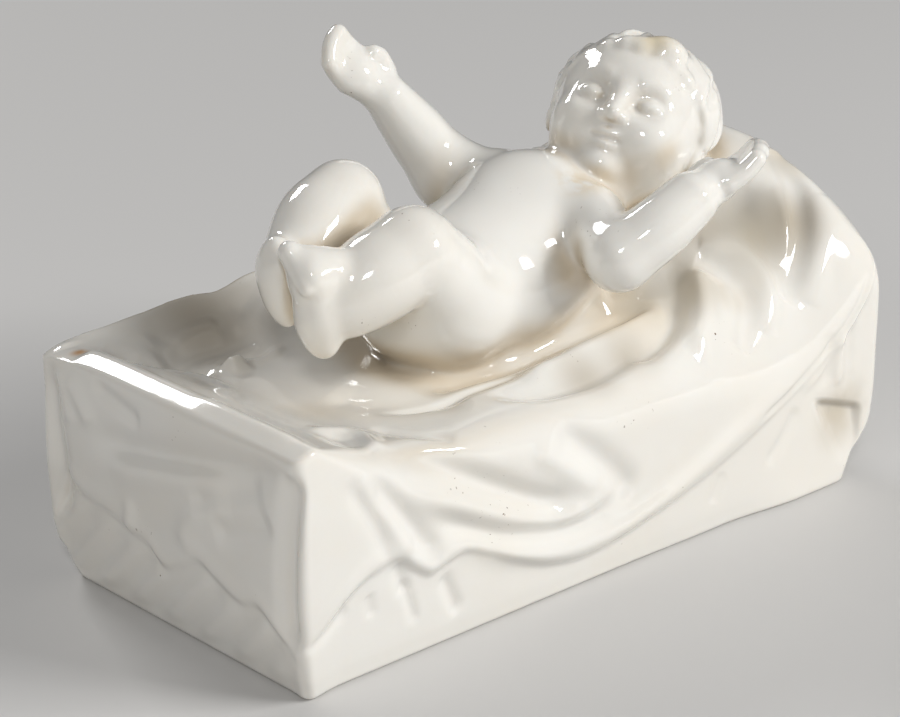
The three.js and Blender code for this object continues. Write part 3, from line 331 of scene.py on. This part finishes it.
NEAR_FOLDS = (
    (((-54.7, 33.6), (-49.2, 25), (-46.8, 17.9)), 1.5, -0.5),
    (((-52, 33), (-46.2, 25), (-42, 18.5)), 1.6, 0.6),
    (((-50.5, 33), (-42.9, 23.5), (-36.4, 16.1)), 2.0, -1.1),
    (((-45.3, 33.1), (-35, 29.2), (-24.9, 23.4), (-16.5, 18.7), (-8.5, 15.6)), 2.4, -1.8),
    (((-43, 28.4), (-33, 23.6), (-22, 18.4), (-11, 14.6), (0, 14.2)), 1.9, 0.8),
    (((-39.6, 23.6), (-33, 19.9), (-24.8, 15.7), (-17.9, 13.8), (-10.6, 12.4), (-3.4, 13), (3, 15)),
     1.8, -1.0),
    (((-34, 17.4), (-24, 12.4), (-14, 9.6), (-4, 8.8), (6, 10), (18, 13.6), (30, 18.4), (42, 24)), 1.8, 0.6),
    (((-13.1, 30.2), (-5.9, 24.4), (0.2, 18.7), (4.5, 13.5)), 2.4, -1.1),
    (((-18, 28), (-11, 22.6), (-3.5, 16.6)), 1.9, 0.6),
    (((62, 38.5), (54.5, 29.4), (41.4, 21.2), (33, 18)), 0.8, -0.5),
    (((62, 36), (51.7, 24.6), (44, 19.6)), 0.9, 0.3),
    (((-62.6, 8.9), (-58, 11.2), (-53.9, 13.7)), 0.9, -0.4),
    (((-44.9, 17.4), (-43, 11.8)), 1.2, -0.5),
    (((-43.5, 14.5), (-40.4, 6)), 1.0, -0.4),
    (((-50.1, 14.2), (-49.4, 10.2)), 1.0, -0.35),
    (((-35.6, 12.6), (-31.6, 4.6)), 1.3, -0.6),
    (((23.8, 5.6), (25.9, 11)), 1.2, -0.25),
    (((36.5, 8.9), (40.5, 13), (43.5, 17.6)), 1.4, -0.4),
    (((50.4, 29), (50.8, 19)), 1.5, -0.3),
    (((53.4, 28), (53.6, 18.4)), 1.2, 0.4),
    (((56, 29), (56.2, 17.4)), 1.4, -0.3),
)
FOOT_FOLDS = (
    (((27.4, 37.8), (28.1, 30.7), (27.4, 25.1), (26.6, 20.2), (27.3, 15.8), (28.7, 11)), 2.2, -1.2),
    (((26.2, 36.5), (24.5, 32.6), (22.8, 28.1)), 1.5, 0.4),
    (((23.6, 36.3), (20.1, 32.6), (17.7, 29.7)), 1.8, 0.5),
    (((17.4, 36.8), (12.4, 35.7), (8.5, 34.7), (5.1, 33.8)), 1.5, -0.5),
    (((18.2, 27.4), (8.4, 29), (-0.3, 30.5), (-9.9, 32.3), (-20.3, 34.4), (-28.8, 36.4)), 2.4, -0.9),
    (((13.8, 23.5), (-1.3, 27.5), (-16.8, 31)), 2.4, 0.4),
    (((-6.7, 24.9), (-12, 27.7), (-17.9, 30.4), (-23.4, 32.5)), 2.1, -0.7),
    (((-4.5, 16.1), (-5.4, 20.2), (-7.8, 23.2), (-11.7, 26), (-15.9, 27.7)), 2.2, 0.6),
    (((-11.5, 22.4), (-16.4, 23.5), (-21.3, 25.8), (-25.2, 28.6)), 2.2, -0.6),
    (((-29.2, 37), (-29.2, 33), (-28.6, 26), (-28.1, 19.5), (-28, 14), (-29, 8)), 1.7, -1.9),
    (((8.7, 18.6), (8.9, 16.8)), 1.5, 0.5),
)
FAR_FOLDS = (
    (((-50, 36), (-38, 26), (-30, 20)), 2.4, -1.0),
    (((-30, 38), (-14, 26), (2, 19)), 2.6, -1.2),
    (((-6, 40), (8, 26), (22, 14)), 2.6, 0.9),
    (((14, 40), (28, 28), (40, 19)), 2.6, -1.2),
    (((34, 42), (44, 32), (56, 26)), 2.4, 0.8),
)
HEAD_FOLDS = (
    (((-22, 46), (-20, 34), (-14, 24)), 2.4, -1.0),
    (((-4, 50), (-6, 36), (2, 22)), 2.6, 0.9),
    (((12, 48), (10, 34), (18, 20)), 2.6, -1.1),
)
# strokes over the pillow by the left arm: points on the cloth, half width, height
PILLOW_FOLDS = (
    (((31, -18.5, 43.5), (33.5, -21.5, 41.5), (35, -24, 39.5), (35.5, -26, 36.5), (33, -28, 33),
      (30.5, -29, 30.5)), 2, -1.8),
    (((33, -17, 45), (38.5, -21, 43.5), (41, -24, 40), (40.5, -26.5, 36), (37.5, -29, 31.5)), 2, 1.3),
    (((50.5, -17, 50.5), (50, -20.5, 47), (47.5, -24, 42), (44, -26, 38.5)), 1.3, 0.6),
    (((56, -12, 54.5), (55, -16, 52.5), (54, -19.5, 49), (50.5, -23.5, 44), (47, -25.5, 39.5),
      (43, -27.5, 35.5)), 2.2, -2),
    (((57, -20.5, 48.5), (54.5, -24.5, 43.5), (51, -27, 38.5), (47.5, -28.5, 34)), 2, 1),
)


def soft_step(t):
    t = np.clip(t, 0, 1)
    return t * t * (3 - 2 * t)


def relief(a, b, folds):
    """The height of soft folds at places on a face; long folds fade out towards their ends."""
    out = np.zeros(np.broadcast(a, b).shape)
    for points, width, height in folds:
        path = curve([(*p, 0.0) for p in points])[:, :2]
        n = len(path) - 1
        best, where = np.full(out.shape, 1e9), np.zeros(out.shape)
        for i in range(n):
            p, d = path[i], path[i + 1] - path[i]
            t = np.clip(((a - p[0]) * d[0] + (b - p[1]) * d[1]) / (d @ d), 0, 1)
            q = (a - p[0] - t * d[0]) ** 2 + (b - p[1] - t * d[1]) ** 2
            near = q < best
            best[near] = q[near]
            where[near] = (i + t[near]) / n
        long = np.hypot(*(path[-1] - path[0])) > 3 * width
        fade = soft_step(np.minimum(where, 1 - where) / 0.22 + 0.15) if long else 1
        out += height * np.exp(-best / width ** 2) * fade
    return out


def hem_step(along, z, hem):
    """How far a wall stands in below the cloth's hem, with the hem's rolled edge."""
    above = z - hem(along)
    rolled = 0.3 * np.exp(-((above - 1.8) / 1.5) ** 2)
    return CLOTH * (soft_step(above / 2.2 + 0.5) - 1) + rolled


def gathers(y, z):
    """Slanting folds of the mattress cover below the cloth on the foot wall."""
    shown = soft_step((foot_hem(y) - z) / 4) * soft_step(z / 4) * soft_step((y + 30) / 10)
    return -0.3 * np.cos(2 * np.pi * (y + z) / GATHER) * shown


def notch(x, z):
    """The sunk fold in the near wall by the head end, deepest under its upper edge."""
    under = soft_step((18.5 - 0.35 * (x - 46.6) - z) / 1.5)
    beside = soft_step((x - 46.2 - 0.5 * (18.5 - z)) / 3.5) * soft_step((60.2 - x) / 1.4)
    return -1.6 * under * beside * np.clip((z - 3.5) / 12, 0, 1)


def top_height(x, y):
    """The height of the cloth on top; by the foot it rises late and steeply to the far rim."""
    t = np.clip(np.abs(y) / HALF_W, 0, 1.1)
    w = t ** (2.4 + np.where(y > 0, 2.6, 0) * (1 - soft_step((x + 34) / 24)))
    rim = np.where(y < 0, near_rim(x), far_rim(x))
    return centre_line(x) * (1 - w) + rim * w + relief(x, y, TOP_FOLDS)


def near_wall(x, z):
    """How far the near wall stands out from the middle of the bed; it leans in less by the head."""
    leaning = side_in(z) * (1 - soft_step((x - 28) / 18))
    edge = soft_step((x + 62) / 8) * (1 - 0.4 * soft_step((x - 5) / 20)) * soft_step((66 - x) / 8)
    return HALF_W - leaning + hem_step(x, z, near_hem) * edge + notch(x, z) + relief(x, z, NEAR_FOLDS)


def far_wall(x, z):
    edge = soft_step((x + 62) / 8)
    return HALF_W - side_in(z) + hem_step(x, z, far_hem) * edge + relief(x, z, FAR_FOLDS)


def foot_wall(y, z):
    edge = 0.6 * soft_step((y + 31) / 6) * soft_step((31 - y) / 4)
    cloth = hem_step(y, z, foot_hem) * edge + relief(y, z, FOOT_FOLDS)
    return -FOOT_X - foot_in(z) + cloth + gathers(y, z)


def head_wall(y, z):
    edge = soft_step((y + 31) / 8)
    return HEAD_X - head_in(z) + hem_step(y, z, head_hem) * edge + relief(y, z, HEAD_FOLDS)


def bed(clay):
    """A rounded block with a wall of its own on each side and a top that is hollow for the child."""
    along, across, up = clay.axes
    top = top_height(*np.meshgrid(along, across, indexing="ij"))[:, :, None]
    sides = np.meshgrid(along, up, indexing="ij")
    ends = np.meshgrid(across, up, indexing="ij")
    near, far = near_wall(*sides)[:, None, :], far_wall(*sides)[:, None, :]
    foot, head = foot_wall(*ends)[None, :, :], head_wall(*ends)[None, :, :]
    x, y, z = along[:, None, None], across[None, :, None], up[None, None, :]
    # r rounds the upright corners, and soft the rim of the top
    r = np.where(x < 0, np.where(y < 0, 2.0, 1.4 + 2.4 * soft_step((9 - z) / 9)), 3.2)
    qx = np.where(x < 0, -x - foot, x - head) + r
    qy = np.where(y < 0, -y - near, y - far) + r
    side = np.sqrt(np.maximum(qx, 0) ** 2 + np.maximum(qy, 0) ** 2) + np.minimum(np.maximum(qx, qy), 0) - r
    soft = 1.0 + 5.0 * soft_step((x + 60.5) / 17) - 1.2 * soft_step((y - 18) / 8) * soft_step((-42 - x) / 10)
    field = smooth_max(side, (z - top) * 0.85, soft)
    field = smooth_max(field, -z, 1.2)
    clay.field = field.astype(np.float32)
    for points, width, height in PILLOW_FOLDS:
        clay.press(np.array(points, float), width, height)


def hand(add, palm, f, r, n, fingers, curl, together, thick):
    """A hand: f points along the fingers, r from the thumb to the little finger, n out of the palm."""
    palm, f, r, n = (np.asarray(t, float) for t in (palm, f, r, n))
    f = unit(f)
    r = unit(r - f * (r @ f))
    n = unit(n - f * (n @ f) - r * (n @ r))
    add(ellipsoid(palm, (4.8, 3.9, 3.0 * thick), f, r), 2.0)
    for i, long in enumerate(fingers):
        base = palm + f * (2.4 - 0.25 * i) + r * (-2.7 + 1.8 * i) - n * 0.4
        knee = base + f * long * 0.55 + n * 0.2 * curl
        tip = base + f * long + n * curl * 2.2
        add(limb((*base, 1.6 * thick), (*knee, 1.5 * thick), (*tip, 1.35 * thick)), together)
    thumb = palm - r * 3.4 - f * 2.6 + n * 0.8
    knuckle = thumb + f * 2.4 - r * 0.7 + n * 0.7
    tip = thumb + f * 3.8 - r * 0.3 + n * 1.1
    add(limb((*thumb, 2.0), (*knuckle, 1.6), (*tip, 1.3)), 1.2)


def foot(add, heel, ball, out, big, little):
    """A foot from heel to ball, with five toes between the tips of the big and the little toe."""
    heel, ball, out, big, little = (np.asarray(t, float) for t in (heel, ball, out, big, little))
    d = unit(ball - heel)
    add(limb((*(heel + d * 2.8), 3.2), (*heel, 2.5), (*(heel - d * 1.6), 1.4)), 1.5)
    add(ellipsoid((heel + ball) / 2, (7.4, 3.6, 2.9), d, out), 2.2)
    add(ellipsoid(ball, (3.2, 3.8, 2.6), d, out), 1.8)
    for i, r in enumerate((1.8, 1.35, 1.25, 1.15, 1.0)):
        toe = big + (little - big) * i / 4
        add(limb((*(toe * 0.5 + ball * 0.5), r), (*toe, r)), 0.8)


HEAD = np.array((34.0, 0.2, 61.9))  # the middle of the head
LOOK = unit((-0.66, -0.46, 0.56))  # where the face looks
CROWN = np.array((0.55, 0.1, 0.83))
CROWN = unit(CROWN - LOOK * (CROWN @ LOOK))  # from the chin to the top of the head
CHEEK = np.cross(CROWN, LOOK)  # toward the child's left

# the shell of hair on the head: its middle and radii, forward, up and sideways
HAIR_AT, HAIR_R = np.array((-1.2, 2.3, 0.3)), np.array((13.2, 12.4, 13.9))
# the hairline is a plane across the head: forward and up parts of its normal
LINE_F, LINE_U = 0.777, 0.63
LOCKS, CURLS = 26, 11


def at(f, u, s):
    """A place by the middle of the head, by its distance forward, up and sideways."""
    return HEAD + LOOK * f + CROWN * u + CHEEK * s


def egg(f, u, s, rf, ru, rs):
    """A lump there, with its radii forward, up and sideways."""
    return ellipsoid(at(f, u, s), (rf, rs, ru), LOOK, CHEEK)


def head(body):
    add = body.add
    add(egg(-0.4, 1.8, 0, 12.8, 12.2, 12.6), 3)
    add(egg(2.6, -5.4, 0, 9.3, 8.9, 10.9), 4)
    for s in (-1, 1):
        add(egg(7.6, -4.9, 5.6 * s, 4.2, 4.0, 4.2), 3.5)
    add(egg(9.4, -11.2, 0, 2.7, 2.3, 3.1), 2)
    # eyes
    for s in (-1, 1):
        body.carve(egg(13.4, -0.2, 4.8 * s, 2.8, 2.0, 3.0), 2.2)
        add(egg(9.8, -0.5, 4.7 * s, 2.1, 1.9, 2.5), 0.5)
        body.press([at(11.0, -0.7, 2.3 * s), at(12.0, -1.3, 4.4 * s), at(11.0, -0.9, 6.8 * s)], 0.45, -0.32)
        body.press([at(11.2, 1.0, 2.4 * s), at(11.9, 1.8, 4.6 * s), at(10.6, 1.1, 7.2 * s)], 0.5, -0.22)
        body.press([at(12.2, 3.0, 2.2 * s), at(12.0, 4.0, 4.8 * s), at(10.2, 3.0, 8.0 * s)], 1.2, 0.3)
    # nose and mouth
    add(limb((*at(11.2, 1.8, 0), 1.1), (*at(12.2, -1.0, 0), 1.2), (*at(13.2, -3.2, 0), 1.45)), 1.2)
    for s in (-1, 1):
        add(egg(12.4, -3.7, 1.5 * s, 1.1, 0.95, 1.0), 0.6)
    add(egg(11.0, -6.4, 0, 1.6, 1.0, 2.6), 0.8)
    add(egg(10.9, -8.2, 0, 1.5, 0.95, 2.2), 0.8)
    body.press([at(11.3, -7.0, -2.9), at(12.3, -7.4, -1.2), at(12.4, -7.3, 0), at(12.3, -7.4, 1.2),
                at(11.3, -7.0, 2.9)], 0.45, -0.5)
    body.press([at(12.4, -4.8, 0), at(12.6, -5.8, 0)], 0.5, -0.25)
    # ears
    for s in (-1, 1):
        add(egg(-0.8, -2.4, 12.2 * s, 2.3, 3.3, 1.5), 0.8)
        body.press([at(0.6, -0.6, 13.4 * s), at(-1.0, 0.0, 13.9 * s), at(-1.9, -2.2, 13.9 * s),
                    at(-0.6, -4.6, 13.3 * s)], 0.5, 0.3)
        body.press([at(0.2, -2.4, 13.6 * s), at(-0.8, -1.6, 13.8 * s)], 0.7, -0.6)
    hair(body)


def hair(body):
    """A shell of hair cut off at the brow, with wavy locks from a whorl on the crown, and curls."""
    shell = egg(*HAIR_AT, *HAIR_R)
    body.add(cut_by(shell, at(9.2, 8.4, 0), LOOK * LINE_F - CROWN * LINE_U, 1.0), 0.6)
    whorl = unit((-0.35, 0.94, 0.0))
    around = np.array(((whorl[1], -whorl[0], 0.0), (0.0, 0.0, 1.0)))
    for k in range(LOCKS):
        for half, width, height in ((0.0, 1.15, 0.55), (0.5, 0.8, -0.6)):  # a lock, and the dip beside it
            path = []
            for j in range(6):
                polar = np.radians(14 + 19 * j)
                turn = 2 * np.pi * (k + half) / LOCKS + 0.16 * np.sin(1.4 * j + 1.9 * k) + 0.10 * j
                sideways = around[0] * np.cos(turn) + around[1] * np.sin(turn)
                f, u, s = (whorl * np.cos(polar) + sideways * np.sin(polar)) * HAIR_R + HAIR_AT
                if LINE_F * f - LINE_U * u < 1.9:
                    path.append(at(f, u, s))
            if len(path) >= 2:
                body.press(path, width, height)
    # curls along the brow
    for k in range(CURLS):
        t = -1 + 2 * k / (CURLS - 1)
        s = 11.6 * np.sin(1.25 * t)
        u = 8.6 - 8.0 * t * t + 0.5 * np.sin(5 * k)
        f = (1.9 + LINE_U * u) / LINE_F
        body.add(egg(min(f, 9.6) - 0.8, u + 0.6, s * 0.98, 1.7, 1.6, 1.6), 1.2)
    body.add(egg(6.8, 10.6, 3.4, 3.4, 2.6, 3.6), 1.6)
    body.add(egg(8.4, 9.6, -0.4, 2.0, 1.9, 2.4), 1.2)


def figure(clay):
    """The child, modelled apart from the bed and then melted into it."""
    body = clay.part((-52, -36, 26), (56, 36, 86))
    add = body.add
    spine = (0.86, 0, 0.5)
    # trunk
    add(ellipsoid((-9, 0, 43), (11.5, 12, 10.5), spine), 3)
    add(ellipsoid((-14.5, -1, 41.5), (9.5, 11.5, 8.5)), 4)
    add(ellipsoid((1, 0, 46.0), (12.5, 12.2, 10.8), spine), 6)
    add(ellipsoid((4, 0, 42.0), (15, 12.4, 9.5), spine), 5)
    add(ellipsoid((13, 0, 46.0), (12, 12.0, 9.5), spine), 5)
    add(ellipsoid((12, 1.6, 50.2), (11.4, 12.4, 10.0), (0.97, 0, 0.22)), 6)
    for s in (-1, 1):
        add(limb((-8, 3.2 * s, 40.6, 8.5), (3, 4.4 * s, 40.8, 9.2), (13, 4.2 * s, 43, 8.8)), 5)
    add(ellipsoid((18, -1.4, 49.6), (6.8, 11.6, 5.6), (0.97, 0, 0.22)), 4)
    add(limb((19, -0.6, 49.4, 6), (27, -0.2, 54.6, 6.6)), 3)
    # legs
    add(limb((-11.5, -6.6, 42, 8.2), (-16.8, -8.4, 48.4, 8.0), (-22.6, -9.4, 54.6, 7.0)), 4.5)
    add(limb((-22.6, -9.4, 54.6, 6.9), (-28.8, -8.6, 52.2, 7.1), (-33.4, -7.4, 49.8, 6.2),
             (-36.2, -6.8, 48.6, 4.6)), 1.2)
    add(limb((-12, 7.2, 43, 7.4), (-17.4, 8.0, 50.6, 6.5), (-21.6, 8.2, 58.2, 6.1)), 3.5)
    add(limb((-21.2, 8.3, 58.4, 6.2), (-26.8, 7.2, 56.2, 6.9), (-31.8, 5.4, 53.8, 5.8),
             (-35.2, 4.4, 52.6, 4.4)), 1.2)
    foot(add, heel=(-38.2, -6.6, 44.0), ball=(-40.6, -6.2, 54.2), out=(-0.2, -0.97, 0.08),
         big=(-41.9, -3.8, 57.8), little=(-42.6, -8.4, 53.4))
    foot(add, heel=(-38.0, 2.6, 48.2), ball=(-38.6, 2.8, 53.0), out=(0.1, 1, 0.05),
         big=(-39.4, 0.6, 54.6), little=(-39.0, 5.0, 54.2))
    add(ellipsoid((-37.6, -6.4, 54.6), (4.2, 3.6, 3.6)), 2)
    add(ellipsoid((-39.8, -5.2, 56.0), (2.7, 2.8, 2.5)), 1.4)
    # arms
    add(limb((13, 11, 52.8, 5.8), (10.4, 17.6, 53.4, 5.8)), 3)
    add(limb((10.0, 18.6, 53.6, 5.6), (5.6, 20.7, 60.4, 5.1), (0.5, 22.5, 67.6, 3.8)), 3)
    hand(add, palm=(-3.3, 24.4, 71.4), f=(-0.66, 0.30, 0.80), r=(-0.87, -0.21, -0.5), n=(0.1, -0.9, 0.3),
         fingers=(5.2, 5.6, 5.4, 4.6), curl=0.3, together=1.5, thick=1.0)
    add(limb((14, -11, 52, 5.4), (10, -21, 49.4, 5.0)), 3)
    add(limb((9.7, -21.6, 49.2, 5.2), (15.4, -24.2, 53.4, 5.0), (21.4, -25.2, 57.0, 4.5)), 2)
    hand(add, palm=(26.9, -25.2, 58.6), f=(0.80, -0.40, 0.50), r=(-0.562, -0.792, 0.086),
         n=(-0.258, 0.281, 0.9), fingers=(6.6, 7.0, 6.6, 5.6), curl=0.35, together=1.0, thick=1.15)
    head(body)
    clay.join(body, 1.8)


def porcelain_mesh():
    """The surface as a mesh in metres, thinned to a set number of triangles and set back on the form."""
    clay = Clay((-68, -36, -3), (70, 36, 87), STEP)
    bed(clay)
    figure(clay)
    verts, quads = clay.skin()
    rough = bpy.data.meshes.new("rough")
    rough.from_pydata(verts.tolist(), [], quads.tolist())
    carrier = bpy.data.objects.new("rough", rough)
    bpy.context.scene.collection.objects.link(carrier)
    thin = carrier.modifiers.new("thin", "DECIMATE")
    thin.ratio = min(1, TRIANGLES / (2 * len(quads)))
    thin.use_collapse_triangulate = True
    thinned = carrier.evaluated_get(bpy.context.evaluated_depsgraph_get())
    mesh = bpy.data.meshes.new_from_object(thinned)
    bpy.data.objects.remove(carrier)
    bpy.data.meshes.remove(rough)

    points = np.empty(len(mesh.vertices) * 3, np.float32)
    mesh.vertices.foreach_get("co", points)
    points, normals = clay.settle(points.reshape(-1, 3).astype(float))
    # how closely other clay stands before the surface, over four distances
    reaches = (1.5, 3, 6, 9)
    hollow = sum(np.clip(1 - clay.at(points + normals * d)[0] / d, 0, 1.5) for d in reaches) / len(reaches)
    points[:, 0] -= MIDDLE_X
    mesh.vertices.foreach_set("co", (points / 1000).astype(np.float32).ravel())
    mesh.update()
    mesh.polygons.foreach_set("use_smooth", [True] * len(mesh.polygons))
    mesh.normals_split_custom_set_from_vertices(normals.tolist())
    depth = mesh.attributes.new("hollow", "FLOAT", "POINT")
    depth.data.foreach_set("value", hollow.astype(np.float32))
    mesh.name = "figurine_porcelain"
    return mesh


def glaze():
    """Clear glaze over a warm white body, cream where it pools and painted shade in its hollows and folds, a
    painted shadow in the far foot hollow, stains, and a few specks from the kiln.
    """
    material = bpy.data.materials.new("glazed_porcelain")
    material.use_nodes = True
    nodes, links = material.node_tree.nodes, material.node_tree.links
    shader = nodes["Principled BSDF"]
    place = nodes.new("ShaderNodeTexCoord").outputs["Object"]

    def noise(scale, detail=3.0):
        node = nodes.new("ShaderNodeTexNoise")
        node.inputs["Scale"].default_value = scale
        node.inputs["Detail"].default_value = detail
        links.new(place, node.inputs["Vector"])
        return node.outputs["Fac"]

    def spread(value, low, high, to_low=0.0, to_high=1.0):
        node = nodes.new("ShaderNodeMapRange")
        node.interpolation_type = "SMOOTHSTEP"
        ends = {"From Min": low, "From Max": high, "To Min": to_low, "To Max": to_high}
        for name, number in ends.items():
            node.inputs[name].default_value = number
        links.new(value, node.inputs["Value"])
        return node.outputs["Result"]

    def times(a, b):
        node = nodes.new("ShaderNodeMath")
        node.operation = "MULTIPLY"
        links.new(a, node.inputs[0])
        links.new(b, node.inputs[1])
        return node.outputs["Value"]

    def near(point, radius):
        """1 at a point of the part, in millimetres, fading to 0 at the radius."""
        node = nodes.new("ShaderNodeVectorMath")
        node.operation = "DISTANCE"
        links.new(place, node.inputs[0])
        node.inputs[1].default_value = [(p - m) / 1000 for p, m in zip(point, (MIDDLE_X, 0, 0))]
        return spread(node.outputs["Value"], radius / 1000, 0)

    def tint(base, colour, amount):
        node = nodes.new("ShaderNodeMix")
        node.data_type = "RGBA"
        links.new(amount, node.inputs["Factor"])
        if isinstance(base, tuple):
            node.inputs[6].default_value = (*base, 1)
        else:
            links.new(base, node.inputs[6])
        node.inputs[7].default_value = (*colour, 1)
        return node.outputs[2]

    hollow = nodes.new("ShaderNodeAttribute")
    hollow.attribute_name = "hollow"
    hollow = hollow.outputs["Fac"]
    colour = tint(WHITE, WARM, spread(noise(28), 0.35, 0.75))
    # cream where the glaze pools, deepened in every hollow as painted shade
    colour = tint(colour, CREAM_POOL_AND_SHADE, spread(hollow, 0.10, 0.75, 0, 0.8))
    # real stains, and painted shade and a painted shadow in folds and hollows
    for point, radius, stain_or_shade, noise_scale in STAINS_AND_PAINTED_SHADE:
        colour = tint(colour, stain_or_shade, times(near(point, radius), spread(noise(noise_scale), 0.30, 0.56)))
    specks = times(spread(noise(1500, 1.0), 0.72, 0.78), spread(noise(60), 0.60, 0.72))
    colour = tint(colour, SPECK, specks)
    links.new(colour, shader.inputs["Base Color"])
    links.new(spread(noise(60), 0.3, 0.8, 0.05, 0.10), shader.inputs["Roughness"])
    shader.inputs["IOR"].default_value = 1.52
    shader.inputs["Subsurface Weight"].default_value = 0.25
    shader.inputs["Subsurface Radius"].default_value = (1.0, 0.85, 0.7)
    shader.inputs["Subsurface Scale"].default_value = 0.0015
    shader.inputs["Coat Weight"].default_value = 0.5
    shader.inputs["Coat Roughness"].default_value = 0.03
    ripple = nodes.new("ShaderNodeBump")
    ripple.inputs["Strength"].default_value = 0.05
    ripple.inputs["Distance"].default_value = 0.0005
    links.new(noise(350, 2.0), ripple.inputs["Height"])
    links.new(ripple.outputs["Normal"], shader.inputs["Normal"])
    return material


WHITE, WARM = (0.82, 0.80, 0.75), (0.81, 0.775, 0.705)
# the first colour is the cream of pooled glaze, also used to paint shade into hollows; the second is the
# kiln's specks
CREAM_POOL_AND_SHADE, SPECK = (0.60, 0.51, 0.38), (0.16, 0.10, 0.05)
# stains and painted shade: point and radius in millimetres, colour, and the scale of the noise that breaks
# them up
STAINS_AND_PAINTED_SHADE = (
    # real stains: an orange mark on the foot rim, a yellow spot on the head and a tan line at the neck
    ((-60.6, 24.4, 39.2), 2.2, (0.55, 0.30, 0.12), 260),
    ((35.0, -4.0, 76.0), 5.0, (0.73, 0.64, 0.47), 220),
    ((14.0, -9.0, 58.0), 6.0, (0.72, 0.61, 0.45), 300),
    # painted shade, with some cream where the glaze pools: darker where shade falls in the sunk fold by the
    # head end, under the head and left arm, over the pillow's folds and along the valleys by the left arm
    ((55.0, -30.5, 13.0), 9.0, (0.56, 0.50, 0.40), 60),
    ((34.0, -10.0, 46.0), 15.0, (0.68, 0.60, 0.48), 60),
    ((16.0, -16.0, 38.0), 12.0, (0.68, 0.60, 0.48), 60),
    ((43.5, -19.0, 44.5), 13.0, (0.42, 0.37, 0.285), 0),
    ((50.5, -21.5, 46.0), 9.0, (0.45, 0.395, 0.31), 0),
    ((57.0, -14.0, 56.0), 9.0, (0.58, 0.52, 0.42), 0),
    ((35.0, -25.0, 40.0), 7.0, (0.64, 0.57, 0.46), 60),
    ((27.0, -21.0, 40.0), 8.0, (0.58, 0.52, 0.42), 12),
    ((0.0, -23.5, 32.5), 8.0, (0.56, 0.51, 0.43), 0),
    ((10.0, -23.0, 32.8), 8.0, (0.56, 0.51, 0.43), 0),
    ((20.0, -17.0, 37.5), 7.0, (0.58, 0.52, 0.42), 0),
    # painted shadow: the feet's shadow and the shade in the hollow inside the far foot rim
    ((-36.0, 25.5, 38.0), 19.0, (0.36, 0.315, 0.25), 0),
)

mesh = porcelain_mesh()
mesh.materials.append(glaze())
figurine = bpy.data.objects.new("figurine_porcelain", mesh)
bpy.context.scene.collection.objects.link(figurine)
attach(figurine, "root")
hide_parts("figurine")


def area(name, azimuth, elevation, distance, width, height, power, mirrored=True):
    """A soft light seen from the figure at that azimuth, 0 from -Y and 90 from +X, and elevation."""
    a, e = math.radians(azimuth), math.radians(elevation)
    way = Vector((math.sin(a) * math.cos(e), -math.cos(a) * math.cos(e), math.sin(e)))
    light = bpy.data.lights.new(name, "AREA")
    light.shape, light.size, light.size_y = "RECTANGLE", width, height
    light.energy = power
    lamp = bpy.data.objects.new(name, light)
    bpy.context.scene.collection.objects.link(lamp)
    lamp.location = Vector((0, 0, 0.045)) + way * distance
    lamp.visible_glossy = mirrored
    lamp.rotation_mode = "QUATERNION"
    lamp.rotation_quaternion = way.to_track_quat("Z", "Y")


area("right_softbox", 26, 27, 1.3, 0.24, 0.24, 5)
area("right_fill", 43, 30, 1.3, 0.5, 0.5, 10.3, mirrored=False)
area("back_strip", 174, 34, 1.3, 0.34, 0.32, 5)
area("left_softbox", -44, 38, 1.4, 0.18, 0.18, 4.3)
area("left_fill", -70, 32, 1.3, 0.7, 0.4, 2.6, mirrored=False)

world = bpy.data.worlds.new("studio")
world.use_nodes = True
sky = world.node_tree.nodes["Background"]
sky.inputs["Color"].default_value = (0.95, 0.96, 1.0, 1)
sky.inputs["Strength"].default_value = 0.09
bpy.context.scene.world = world
bpy.context.scene.view_settings.view_transform = "Standard"

FLOOR = 3  # half the width of the paper it stands on, in metres
ground = bpy.data.meshes.new("floor")
ground.from_pydata([(-FLOOR, -FLOOR, 0), (FLOOR, -FLOOR, 0), (FLOOR, FLOOR, 0), (-FLOOR, FLOOR, 0)],
                   [], [(0, 1, 2, 3)])
paper = bpy.data.materials.new("floor_paper")
paper.use_nodes = True
matt = paper.node_tree.nodes["Principled BSDF"]
matt.inputs["Base Color"].default_value = (0.61, 0.60, 0.585, 1)
matt.inputs["Roughness"].default_value = 0.6
ground.materials.append(paper)
floor = bpy.data.objects.new("floor", ground)
bpy.context.scene.collection.objects.link(floor)

# the camera, by its direction and distance from the point it looks at
azimuth, elevation, away = math.radians(-42.59), math.radians(21.5), 0.4483
back = Vector((math.sin(azimuth) * math.cos(elevation), -math.cos(azimuth) * math.cos(elevation),
               math.sin(elevation)))
lens = bpy.data.cameras.new("camera")
lens.sensor_width, lens.lens, lens.clip_start = 36, 112, 0.01
camera = bpy.data.objects.new("camera", lens)
bpy.context.scene.collection.objects.link(camera)
looked_at = Vector((-0.00556 - MIDDLE_X / 1000, 0.00084, 0.030))
camera.location = looked_at + back * away
camera.rotation_mode = "QUATERNION"
camera.rotation_quaternion = back.to_track_quat("Z", "Y")
bpy.context.scene.camera = camera
